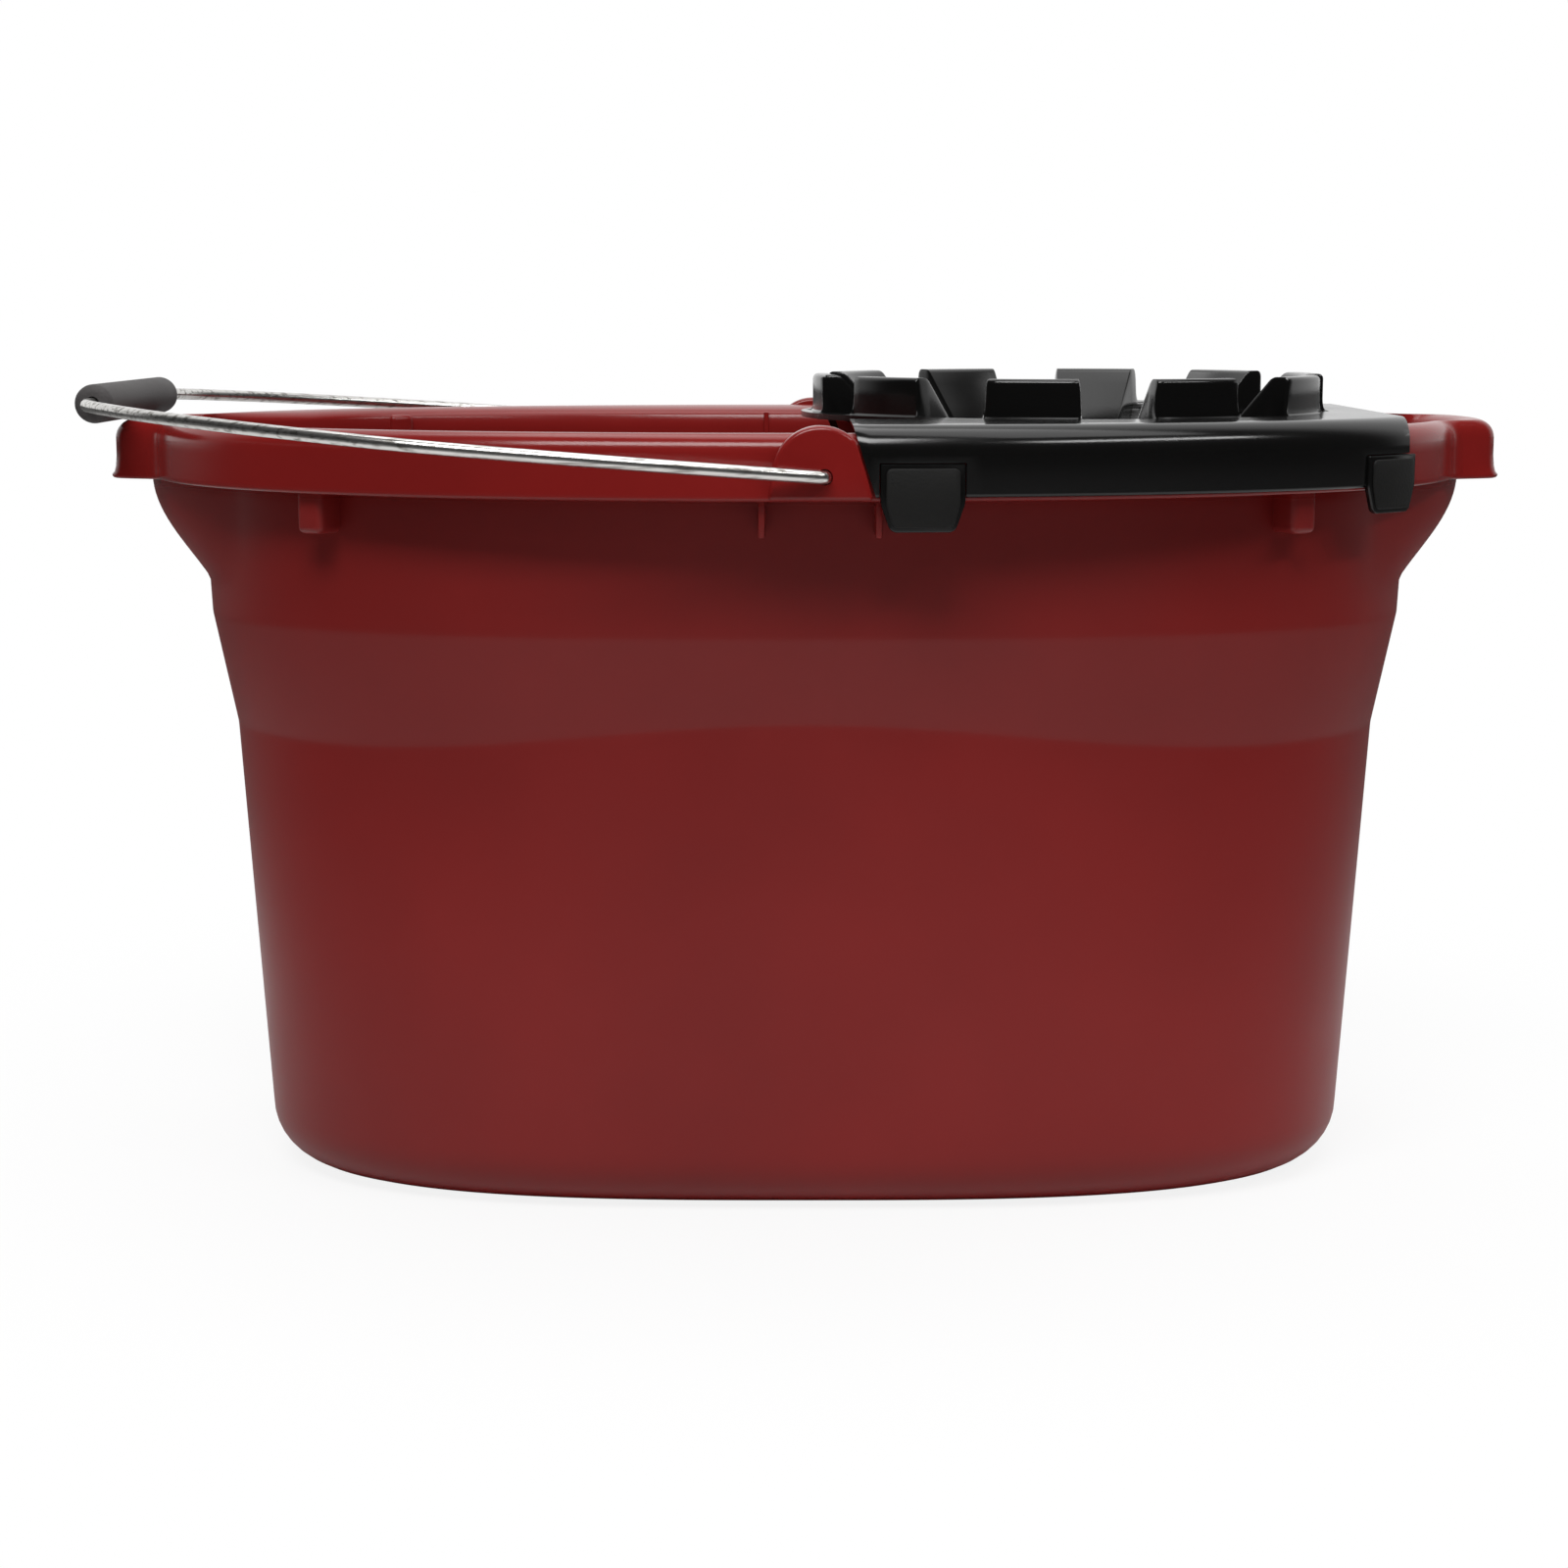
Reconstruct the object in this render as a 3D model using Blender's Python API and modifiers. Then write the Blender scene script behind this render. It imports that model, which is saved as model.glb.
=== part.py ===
"""Oval wash bucket with two pour spouts, a clip-on cone wringer and a wire bail with a loose grip.

Metres, +Z up. The origin is under the middle of the bucket, on the surface it stands on. +X runs
along the bucket to the wringer end, and the bail rests on the -X spout.
"""

from math import asin, atan2, copysign, cos, hypot, pi, radians, sin, sqrt

import bmesh
import bpy
from mathutils import Euler, Matrix, Vector

# Fits
GAP = 0.0003  # between pieces that touch
PIN_CLEARANCE = 0.0004  # radial, bail wire in its ear
GRIP_CLEARANCE = 0.0004  # radial, grip on the wire

# Bucket: overall
HEIGHT = 0.249  # to the top of the rim
WALL = 0.0022
RIM_LENGTH = 0.4380  # over the skirt, spouts left out
RIM_WIDTH = 0.272
RIM_FULLNESS = 2.1  # exponent of the oval: 2 is an ellipse
RIM_RADIUS = 0.006  # outer edge of the rim
SKIRT_DEPTH = 0.0201
SKIRT_RISE = 0.0008  # how much shallower the skirt is at the ends
SKIRT_LIP = 0.004  # height of the flare at its bottom

# Bucket: the body's levels, as drops below the rim, and its size at each
END_FLANGE = 0.0152  # how far the skirt stands out from the body wall, at the ends
SIDE_FLANGE = 0.0190  # the same at the sides
FLANGE_FILLET = 0.003
FLANGE_START = 0.22  # share of the flange's width where it turns flat
TOP_FULLNESS = 2.3
BAND_TOP_DROP = 0.0635
BAND_TOP_INSET = 0.0033  # of the wall at the band's top edge, from the wall at the rim
BAND_BOTTOM_DROP = 0.1010
BAND_DEPTH = 0.0073  # how far the band steps in
BAND_WAVE = 0.0100  # how much higher its bottom edge is at mid-length
WAVE_LENGTH = 0.80  # share of the half-length over which it falls again
BAND_FULLNESS = 2.5
BASE_END_INSET = 0.0099  # of the wall at the base, from the band's bottom edge, at the ends
BASE_SIDE_INSET = 0.0012  # the same at the sides
BASE_FULLNESS = 3.0
BASE_RADIUS = 0.019
FOOT_WIDTH = 0.005
FOOT_RISE = 0.002  # the floor's underside above the foot

# Spouts, and the hollow in the wall that leads to each
SPOUT_REACH = 0.0132  # past the rim
SPOUT_HALF_WIDTH = 0.028
SPOUT_SQUARENESS = 20
SPOUT_FLARE = 0.0020  # of its bottom edge
SCOOP_HALF_WIDTH = 0.062
SCOOP_DEPTH = 0.0185
SCOOP_DROP = 0.052  # where it starts, below the rim

# Ears, ribs and stacking lugs under the rim
PIVOT_X = 0.005
PIVOT_DROP = 0.0125  # under the rim's top
EAR_WIDTH = 0.029
EAR_FLARE = 0.0012  # of its sides at the bottom
EAR_SHIFT = -0.0012  # of its middle from the pivot
EAR_RISE = 0.0025  # above the rim
EAR_SET = 0.0004  # its bottom above the skirt's
EAR_PROUD = 0.0045  # outside the skirt
EAR_BACK = 0.0038  # inside the skirt
RIB_WIDTH = 0.0020
RIB_DROP = 0.0110  # below the skirt
RIB_PITCH = 0.0350  # between the two ribs beside an ear
RIB_BACK = 0.0016  # from the skirt's inner face
LUG_WIDTH = 0.0095
LUG_DROP = 0.0125
LUG_DEPTH = 0.0133
LUG_BACK = 0.0010  # from the skirt's inner face

# Bail and grip
WIRE_RADIUS = 0.0020
TAIL_LENGTH = 0.008  # of the bent end behind the ear
TAIL_SET = 0.0020  # from the ear's back to the bent end
HOOK_RADIUS = 0.0024  # of the wire's middle, in the two bends at the ear
BAIL_BOW = 0.0085  # of each arm, outside its pivot
GRIP_REST = 0.0021  # grip's middle inside the spout's tip
GRIP_RADIUS = 0.00635
GRIP_LENGTH = 0.106
GRIP_SLACK = 0.004  # of straight wire at each of its ends
GRIP_END_RADIUS = 0.0030
ARM_START = (0.0045, 0.0003)  # where the arm leaves its last bend: along, outwards
ARM_BOWED = ((0.106, 0.52), (0.27, 1.0), (0.50, 0.75))  # shares of the reach and of the bow
ARM_SHOULDER = (0.70, 0.76)  # shares of the reach, and of the way from the straight wire to the bow
ARM_CORNER = ((0.033, 0.047), (0.011, 0.024), (0.0022, 0.0105), (0, 0.003))  # from the straight wire's end

# Wringer
COVER = 0.0022  # thickness of its deck and skirts
BASKET = 0.0018  # thickness of its cone
COVER_LEFT_X = 0.0134
COVER_LEFT_SLANT = 0.318  # run over drop of the skirts' left edges
COVER_SKIRT_DEPTH = 0.0188
CROWN_RISE = 0.0148  # tooth tops above the rim
CROWN_FOOT = 0.004  # of deck taken up by the crown's root
MOUTH_CLEARANCE = 0.0015  # deck's hole outside the crown, inside its root
TEETH = 10
TOOTH_ANGLE = radians(20.5)
TOOTH_FACE = 0.34  # share of the half-tooth that is flat on its outer face
FIRST_TOOTH = radians(5.4)
TOOTH_TOP_RADIUS = 0.0042
TOOTH_TOP_ARC = radians(135)
TOOTH_KNEE_RADIUS = 0.0610  # where its sloping inner face turns steeper
TOOTH_KNEE_DROP = 0.0060
TOOTH_DRAFT = radians(0.25)  # of its sides
CONE_RIM = 0.0070  # cone's mouth inside the crown
CONE_DEPTH = 0.099
CONE_FLOOR_RADIUS = 0.0360
FLUTE_FLOOR_RADIUS = 0.0275
FLOOR_HUB = 0.008  # radius of the floor's last ring of points
SLOT_WIDTH = 0.004
SLOT_TOP_DROP = 0.021
SLOT_LENGTH = 0.055
DRAIN_RADIUS = 0.0035
DRAINS = 6
DRAIN_CIRCLE = 0.0150
BULGE_MARGIN = 0.005  # of deck outside the crown
DECK_SINK = 0.0002  # basket's root below the deck's top

# Clip tabs
LEFT_TAB_SET = 0.0205  # its middle from the deck's left edge
LEFT_TAB_WIDTH = 0.0253
RIGHT_TAB_SET = 0.0085  # its middle from the deck's right edge
RIGHT_TAB_WIDTH = 0.0240
TAB_TOP_DROP = 0.0085  # flex line under the rim's top
LEFT_TAB_DROP = 0.0290  # bottom under the rim's top
RIGHT_TAB_DROP = 0.0270
TAB_THICK = 0.0022
TAB_STAND = 0.0004  # how much further out it stands than the skirt
TAB_CORNER = (0.0035, 0.010)  # cut off each bottom corner: across, up
PAD_PROUD = 0.0008
PAD_MARGIN = 0.0022
PAD_TAPER = 0.97

# Shared places
RING = 80  # points round the oval
CROWDING = 0.5  # of those points towards the ends
SPAN = 0.030  # length of a cutter that goes right through a wall
RIM_A = RIM_LENGTH / 2
RIM_B = RIM_WIDTH / 2
WALL_A = RIM_A - END_FLANGE
WALL_B = RIM_B - SIDE_FLANGE
SKIRT_Z = HEIGHT - SKIRT_DEPTH
SCOOP_Z = HEIGHT - SCOOP_DROP
PIVOT_Z = HEIGHT - PIVOT_DROP
EAR_Y = RIM_B + EAR_PROUD
WIRE_Y = EAR_Y + WIRE_RADIUS + 3 * GAP
GRIP_RUN = PIVOT_X + RIM_A + SPOUT_REACH - GRIP_REST  # from the pivot to the resting grip
GRIP_ABOVE = sqrt((RIM_RADIUS + GRIP_RADIUS + GAP) ** 2 - (RIM_RADIUS - GRIP_REST) ** 2)
GRIP_RISE = PIVOT_DROP - RIM_RADIUS + GRIP_ABOVE  # the grip rests on the spout's round edge
BAIL_REACH = hypot(GRIP_RUN, GRIP_RISE)
BAIL_TILT = atan2(GRIP_RISE, GRIP_RUN)
LUG_X = 0.714 * RIM_A
DECK_Z = HEIGHT + GAP + COVER
CROWN_Z = HEIGHT + CROWN_RISE
COVER_OUT = GAP + COVER  # the cover's outer face outside the rim's
COVER_RIGHT_X = 0.871 * RIM_A
CONE_X = 0.407 * RIM_A
CROWN_RADIUS = sqrt(RIM_LENGTH * RIM_WIDTH) / 4
CONE_MOUTH_RADIUS = CROWN_RADIUS - CONE_RIM
FLOOR_Z = HEIGHT - CONE_DEPTH
TABS = (
    ("front_left_tab", COVER_LEFT_X + LEFT_TAB_SET, LEFT_TAB_WIDTH, LEFT_TAB_DROP, -1),
    ("front_right_tab", COVER_RIGHT_X - RIGHT_TAB_SET, RIGHT_TAB_WIDTH, RIGHT_TAB_DROP, -1),
    ("back_left_tab", COVER_LEFT_X + LEFT_TAB_SET, LEFT_TAB_WIDTH, LEFT_TAB_DROP, 1),
    ("back_right_tab", COVER_RIGHT_X - RIGHT_TAB_SET, RIGHT_TAB_WIDTH, RIGHT_TAB_DROP, 1),
)


def reset_scene():
    for old in list(bpy.data.objects):
        bpy.data.objects.remove(old, do_unlink=True)


def collection(name):
    made = bpy.data.collections.new(name)
    bpy.context.scene.collection.children.link(made)
    return made


def material(name, colour, roughness, metallic):
    made = bpy.data.materials.new(name)
    made.use_nodes = True
    shader = made.node_tree.nodes["Principled BSDF"]
    shader.inputs["Base Color"].default_value = (*colour, 1)
    shader.inputs["Roughness"].default_value = roughness
    shader.inputs["Metallic"].default_value = metallic
    return made


def object_from(name, data, where, surface=None):
    made = bpy.data.objects.new(name, data)
    where.objects.link(made)
    if surface:
        made.data.materials.append(surface)
    return made


def mesh_from(name, build, where, surface=None):
    """A mesh object filled by build(bm)."""
    bm = bmesh.new()
    build(bm)
    mesh = bpy.data.meshes.new(name)
    bm.to_mesh(mesh)
    bm.free()
    return object_from(name, mesh, where, surface)


def helper(made):
    made.hide_render = True
    made.display_type = "WIRE"
    return made


def boolean(target, other, operation):
    modifier = target.modifiers.new(f"{operation.lower()} {other.name}", "BOOLEAN")
    modifier.operation = operation
    modifier.solver = "EXACT"
    modifier.object = other


def solidify(target, thickness):
    modifier = target.modifiers.new("wall", "SOLIDIFY")
    modifier.thickness = thickness
    modifier.offset = -1
    modifier.use_even_offset = True


def smooth(made):
    made.data.shade_smooth()
    made.data.set_sharp_from_angle(angle=radians(35))


def oval(a, b, fullness):
    """Points round a superellipse, closer together towards its ends."""
    points = []
    for i in range(RING):
        turn = 2 * pi * i / RING
        t = turn - CROWDING * sin(2 * turn) / 2
        x = a * copysign(abs(cos(t)) ** (2 / fullness), cos(t))
        y = b * copysign(abs(sin(t)) ** (2 / fullness), sin(t))
        points.append((x, y))
    return points


def rim_normal(x, y):
    """Outward direction of the rim's plan at a point on it."""
    along = copysign((abs(x) / RIM_A) ** (RIM_FULLNESS - 1) / RIM_A, x)
    across = copysign((abs(y) / RIM_B) ** (RIM_FULLNESS - 1) / RIM_B, y)
    return Vector((along, across, 0)).normalized()


def rim_point(x, side, out):
    """Place and outward direction at x on the rim's skirt, shifted outwards."""
    y = side * RIM_B * (1 - (abs(x) / RIM_A) ** RIM_FULLNESS) ** (1 / RIM_FULLNESS)
    normal = rim_normal(x, y)
    return Vector((x, y, 0)) + normal * out, normal


def rim_plan(out):
    """The rim's plan, shifted outwards by the same distance all round."""
    shifted = []
    for x, y in oval(RIM_A, RIM_B, RIM_FULLNESS):
        normal = rim_normal(x, y)
        shifted.append((x + normal.x * out, y + normal.y * out))
    return shifted


def facing(direction):
    """A turn about Z that brings -Y to the given direction."""
    return Euler((0, 0, atan2(direction.y, direction.x) + pi / 2))


def loft(bm, rows, upward=True, cap_first=False, cap_last=False):
    """Joins rings of points with faces, and closes the first or last ring with a flat face."""
    rings = [[bm.verts.new(point) for point in row] for row in rows]
    count = len(rings[0])
    for low, high in zip(rings, rings[1:]):
        for j in range(count):
            k = (j + 1) % count
            face = (low[j], low[k], high[k], high[j])
            bm.faces.new(face if upward else face[::-1])
    if cap_first:
        bm.faces.new(rings[0][::-1] if upward else rings[0])
    if cap_last:
        bm.faces.new(rings[-1] if upward else rings[-1][::-1])


def loft_solid(bm, rows):
    """A closed solid from rings of points, with its normals outwards."""
    loft(bm, rows, True, True, True)
    bmesh.ops.recalc_face_normals(bm, faces=bm.faces)


def cover_edge(z):
    """Where the wringer's slanted left edge is at a height."""
    return COVER_LEFT_X + COVER_LEFT_SLANT * max(0, DECK_Z - z)


def spout_share(y):
    return 1 / (1 + (abs(y) / SPOUT_HALF_WIDTH) ** SPOUT_SQUARENESS)


def scoop_share(y, z):
    across = max(0, 1 - (y / SCOOP_HALF_WIDTH) ** 2) ** 1.5
    rise = min(1, max(0, (z - SCOOP_Z) / (SKIRT_Z - SCOOP_Z)))
    return across * sin(rise * pi / 2)


def wall_ring(a, b, fullness, z, wave=0):
    """One level of the body, pushed out by the scoop and raised at mid-length by the wave."""
    ring = []
    for x, y in oval(a, b, fullness):
        out = SCOOP_DEPTH * scoop_share(y, z)
        lift = wave * (1 + cos(min(abs(x) / (WAVE_LENGTH * a), 1) * pi)) / 2
        ring.append((x + copysign(out, x), y, z + lift))
    return ring


def rim_ring(inset, z, reach=SPOUT_REACH, rise=0):
    """One ring of the rim, pushed out at the spouts and raised towards the ends."""
    ring = []
    for x, y in rim_plan(-inset):
        lift = rise * min(1, abs(x) / RIM_A) ** 4
        ring.append((x + copysign(reach * spout_share(y), x), y, z + lift))
    return ring


def flange_ring(share, z):
    """One ring of the flange, between the wall's plan and the rim's."""
    wall = wall_ring(WALL_A, WALL_B, TOP_FULLNESS, z)
    rim = rim_ring(RIM_RADIUS, z)
    return [
        (w[0] + share * (r[0] - w[0]), w[1] + share * (r[1] - w[1]), z)
        for w, r in zip(wall, rim)
    ]


def body_rings():
    """The outside of the body, from the floor up to the flange."""
    bottom_a = WALL_A - BAND_TOP_INSET - BAND_DEPTH
    bottom_b = WALL_B - BAND_TOP_INSET - BAND_DEPTH
    base_a = bottom_a - BASE_END_INSET
    base_b = bottom_b - BASE_SIDE_INSET
    foot = BASE_RADIUS + FOOT_WIDTH
    rings = [
        wall_ring(base_a - foot - FOOT_RISE, base_b - foot - FOOT_RISE, BASE_FULLNESS, FOOT_RISE),
        wall_ring(base_a - foot, base_b - foot, BASE_FULLNESS, 0),
    ]
    for step in range(5):
        turn = step * pi / 8
        inset = BASE_RADIUS * (1 - sin(turn))
        z = BASE_RADIUS * (1 - cos(turn))
        rings.append(wall_ring(base_a - inset, base_b - inset, BASE_FULLNESS, z))
    band_low_z = HEIGHT - BAND_BOTTOM_DROP
    rings.append(wall_ring(bottom_a, bottom_b, BAND_FULLNESS, band_low_z, BAND_WAVE))
    band_z = HEIGHT - BAND_TOP_DROP
    flange_z = HEIGHT - WALL - FLANGE_FILLET
    scoop_levels = [SCOOP_Z + (SKIRT_Z - SCOOP_Z) * step / 4 for step in range(5)]
    for z in (band_z, *scoop_levels, flange_z):
        share = (z - band_z) / (flange_z - band_z)
        inset = BAND_TOP_INSET * (1 - share)
        fullness = BAND_FULLNESS + share * (TOP_FULLNESS - BAND_FULLNESS)
        rings.append(wall_ring(WALL_A - inset, WALL_B - inset, fullness, z))
    return rings


def rim_rings():
    """The underside of the flange and the inside of the skirt."""
    under = HEIGHT - WALL
    rings = [flange_ring(FLANGE_START, under), flange_ring(1, under)]
    inner_radius = RIM_RADIUS - WALL
    for step in (1, 2, 3):
        turn = step * pi / 6
        inset = WALL + inner_radius * (1 - sin(turn))
        rings.append(rim_ring(inset, under - inner_radius * (1 - cos(turn))))
    rings.append(rim_ring(WALL, SKIRT_Z + SKIRT_LIP, SPOUT_REACH, SKIRT_RISE))
    rings.append(rim_ring(WALL, SKIRT_Z, SPOUT_REACH + SPOUT_FLARE, SKIRT_RISE))
    return rings


def box(name, size, centre, where, turn=None):
    def build(bm):
        bmesh.ops.create_cube(bm, size=1)
        bmesh.ops.scale(bm, vec=size, verts=bm.verts)

    made = helper(mesh_from(name, build, where))
    made.location = centre
    if turn:
        made.rotation_euler = turn
    return made


def cylinder(name, radius, length, centre, where, axis="Z", sides=32):
    def build(bm):
        bmesh.ops.create_cone(
            bm, cap_ends=True, segments=sides, radius1=radius, radius2=radius, depth=length
        )

    made = helper(mesh_from(name, build, where))
    made.location = centre
    if axis == "Y":
        made.rotation_euler = Euler((pi / 2, 0, 0))
    return made


def ear_outline():
    """Half-round top and flared sides, kept clear of the wringer's slanted edge."""
    half = EAR_WIDTH / 2
    top = PIVOT_DROP + EAR_RISE
    bottom = PIVOT_DROP - SKIRT_DEPTH + EAR_SET
    points = [(EAR_SHIFT - half - EAR_FLARE, bottom)]
    for step in range(13):
        turn = pi - step * pi / 12
        points.append((EAR_SHIFT + half * cos(turn), top - half + half * sin(turn)))
    points.append((EAR_SHIFT + half + EAR_FLARE, bottom))
    return [(min(x, cover_edge(PIVOT_Z + z) - 2 * GAP - PIVOT_X), z) for x, z in points]


def ear_plate(name, side, inner, outer, where, surface=None):
    """The ear's outline, from one distance off the middle plane to another."""

    def build(bm):
        near = [(x, side * inner, z) for x, z in ear_outline()]
        far = [(x, side * outer, z) for x, z in ear_outline()]
        loft_solid(bm, [near, far])

    plate = mesh_from(name, build, where, surface)
    plate.location = (PIVOT_X, 0, PIVOT_Z)
    return plate


def ear_hole(name, side, where):
    radius = WIRE_RADIUS + PIN_CLEARANCE
    return cylinder(name, radius, SPAN, (PIVOT_X, side * EAR_Y, PIVOT_Z), where, "Y", 24)


def add_ear_roots(bucket, where):
    """The part of each ear inside the skirt, with its hole."""
    for side in (-1, 1):
        root = helper(ear_plate(f"ear_root_{side}", side, RIM_B - EAR_BACK, RIM_B, where))
        boolean(bucket, root, "UNION")
    for side in (-1, 1):
        boolean(bucket, ear_hole(f"root_hole_{side}", side, where), "DIFFERENCE")


def make_ears(parts, cutters, surface):
    """The part of each ear that stands out from the skirt."""
    for name, side in (("front_ear", -1), ("back_ear", 1)):
        ear = ear_plate(name, side, RIM_B + GAP, EAR_Y, parts, surface)
        boolean(ear, ear_hole(f"{name}_hole", side, cutters), "DIFFERENCE")


def add_ribs(bucket, where):
    """Two ribs beside each ear, from the wall to the skirt."""
    low = SKIRT_Z - RIB_DROP
    high = HEIGHT - WALL / 2
    for side in (-1, 1):
        for end in (-1, 1):
            x = PIVOT_X + EAR_SHIFT + end * RIB_PITCH / 2
            outer = RIM_B - WALL - RIB_BACK
            inner = WALL_B - BAND_TOP_INSET
            size = (RIB_WIDTH, outer - inner, high - low)
            centre = (x, side * (outer + inner) / 2, (high + low) / 2)
            rib = box(f"rib_{side}_{end}", size, centre, where)
            boolean(bucket, rib, "UNION")


def add_lugs(bucket, where):
    """Four stacking lugs, square to the rim where they are."""
    low = SKIRT_Z - LUG_DROP
    high = HEIGHT - WALL / 2
    for side in (-1, 1):
        for end in (-1, 1):
            middle = WALL + LUG_BACK + LUG_DEPTH / 2
            place, direction = rim_point(end * LUG_X, side, -middle)
            centre = (place.x, place.y, (low + high) / 2)
            size = (LUG_WIDTH, LUG_DEPTH, high - low)
            lug = box(f"lug_{side}_{end}", size, centre, where, facing(direction))
            boolean(bucket, lug, "UNION")


def make_bucket(parts, cutters):
    red = material("red polypropylene", (0.19, 0.017, 0.018), 0.35, 0)

    def build(bm):
        loft(bm, body_rings() + rim_rings(), True, cap_first=True)

    bucket = mesh_from("bucket", build, parts, red)
    smooth(bucket)
    solidify(bucket, WALL)
    add_ribs(bucket, cutters)
    add_lugs(bucket, cutters)
    add_ear_roots(bucket, cutters)
    make_ears(parts, cutters, red)


def cover_ring(inset, z):
    return [(x, y, z) for x, y in rim_plan(COVER_OUT - inset)]


def cover_rings():
    """Deck, rounded edge and skirt over the whole rim, before it is cut to length."""
    radius = RIM_RADIUS + COVER_OUT
    rings = []
    for step in range(4):
        turn = step * pi / 6
        rings.append(cover_ring(radius * (1 - sin(turn)), DECK_Z - radius * (1 - cos(turn))))
    rings.append(cover_ring(0, HEIGHT - COVER_SKIRT_DEPTH))
    return rings


def cover_keeper(where):
    """What is kept of the cover: its length with slanted left skirts, and a bulge round the crown."""
    top = DECK_Z + SPAN / 3
    low = HEIGHT - COVER_SKIRT_DEPTH - SPAN / 3
    side = [
        (cover_edge(top), top),
        (cover_edge(DECK_Z), DECK_Z),
        (cover_edge(low), low),
        (COVER_RIGHT_X, low),
        (COVER_RIGHT_X, top),
    ]

    def build(bm):
        loft_solid(bm, [[(x, y, z) for x, z in side] for y in (-RIM_WIDTH, RIM_WIDTH)])

    keeper = helper(mesh_from("cover_keeper", build, where))
    radius = CROWN_RADIUS + BULGE_MARGIN
    height = top - HEIGHT
    bulge = cylinder("deck_bulge", radius, height, (CONE_X, 0, HEIGHT + height / 2), where, "Z", 64)
    boolean(keeper, bulge, "UNION")
    return keeper


def gap_path():
    """Between two teeth: the deck, then straight down the cone. (radius, z) pairs."""
    root_z = DECK_Z - DECK_SINK
    lip = CONE_MOUTH_RADIUS + CROWN_FOOT
    path = [(CROWN_RADIUS + CROWN_FOOT, root_z), (lip, root_z)]
    for step in range(1, 6):
        turn = step * pi / 12
        path.append((lip - CROWN_FOOT * sin(turn), root_z - CROWN_FOOT * (1 - cos(turn))))
    knee_share = (path[-1][1] - HEIGHT + TOOTH_KNEE_DROP) / (path[-1][1] - FLOOR_Z)
    knee_r = path[-1][0] + knee_share * (CONE_FLOOR_RADIUS - path[-1][0])
    path.append((knee_r, HEIGHT - TOOTH_KNEE_DROP))
    path.append((CONE_FLOOR_RADIUS, FLOOR_Z))
    path.append((FLOOR_HUB, FLOOR_Z))
    return path


def tooth_path():
    """Over a tooth: the deck, its outer face, its round top and its sloping inner face."""
    root_z = DECK_Z - DECK_SINK
    centre_r = CROWN_RADIUS - TOOTH_TOP_RADIUS
    centre_z = CROWN_Z - TOOTH_TOP_RADIUS
    path = [(CROWN_RADIUS + CROWN_FOOT, root_z), (CROWN_RADIUS, root_z), (CROWN_RADIUS, centre_z)]
    for step in range(1, 5):
        turn = step * TOOTH_TOP_ARC / 4
        r = centre_r + TOOTH_TOP_RADIUS * cos(turn)
        path.append((r, centre_z + TOOTH_TOP_RADIUS * sin(turn)))
    path.append((TOOTH_KNEE_RADIUS, HEIGHT - TOOTH_KNEE_DROP))
    path.append((FLUTE_FLOOR_RADIUS, FLOOR_Z))
    path.append((FLOOR_HUB, FLOOR_Z))
    return path


def basket_rings():
    """Rings from the deck to the middle of the cone's floor; teeth and gaps take turns round it."""
    paths = {"tooth": tooth_path(), "gap": gap_path()}
    pitch = 2 * pi / TEETH
    columns = []
    for tooth in range(TEETH):
        middle = FIRST_TOOTH + tooth * pitch
        for share in (-1, -TOOTH_FACE, TOOTH_FACE, 1):
            columns.append((middle + share * TOOTH_ANGLE / 2, "tooth"))
        half_gap = (pitch - TOOTH_ANGLE) / 2 - TOOTH_DRAFT
        for share in (-1, 0, 1):
            columns.append((middle + pitch / 2 + share * half_gap, "gap"))
    rings = []
    for row in range(len(paths["gap"])):
        ring = []
        for angle, kind in columns:
            radius, z = paths[kind][row]
            ring.append((CONE_X + radius * cos(angle), radius * sin(angle), z))
        rings.append(ring)
    return rings


def cut_drains(wringer, where):
    """A slot down the cone in each gap, and round holes in its floor."""
    lean = asin((CONE_MOUTH_RADIUS - CONE_FLOOR_RADIUS) / CONE_DEPTH)
    middle_drop = SLOT_TOP_DROP + SLOT_LENGTH / 2
    share = middle_drop / CONE_DEPTH
    radius = CONE_MOUTH_RADIUS + share * (CONE_FLOOR_RADIUS - CONE_MOUTH_RADIUS)
    for i in range(TEETH):
        angle = FIRST_TOOTH + (i + 0.5) * 2 * pi / TEETH
        centre = (CONE_X + radius * cos(angle), radius * sin(angle), HEIGHT - middle_drop)
        turn = (Matrix.Rotation(angle, 3, "Z") @ Matrix.Rotation(lean, 3, "Y")).to_euler()
        size = (SPAN, SLOT_WIDTH, SLOT_LENGTH)
        boolean(wringer, box(f"slot_{i}", size, centre, where, turn), "DIFFERENCE")
    for i in range(DRAINS):
        angle = 2 * pi * i / DRAINS
        centre = (CONE_X + DRAIN_CIRCLE * cos(angle), DRAIN_CIRCLE * sin(angle), FLOOR_Z)
        drain = cylinder(f"drain_{i}", DRAIN_RADIUS, SPAN, centre, where, sides=16)
        boolean(wringer, drain, "DIFFERENCE")


def cut_tab_windows(wringer, where):
    """The notch that each clip tab fills."""
    high = HEIGHT - TAB_TOP_DROP
    for name, x, width, drop, side in TABS:
        low = HEIGHT - drop
        place, direction = rim_point(x, side, COVER_OUT / 2)
        size = (width + 2 * GAP, SPAN / 3, high - low)
        centre = (place.x, place.y, (high + low) / 2)
        window = box(f"{name}_window", size, centre, where, facing(direction))
        boolean(wringer, window, "DIFFERENCE")


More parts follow.
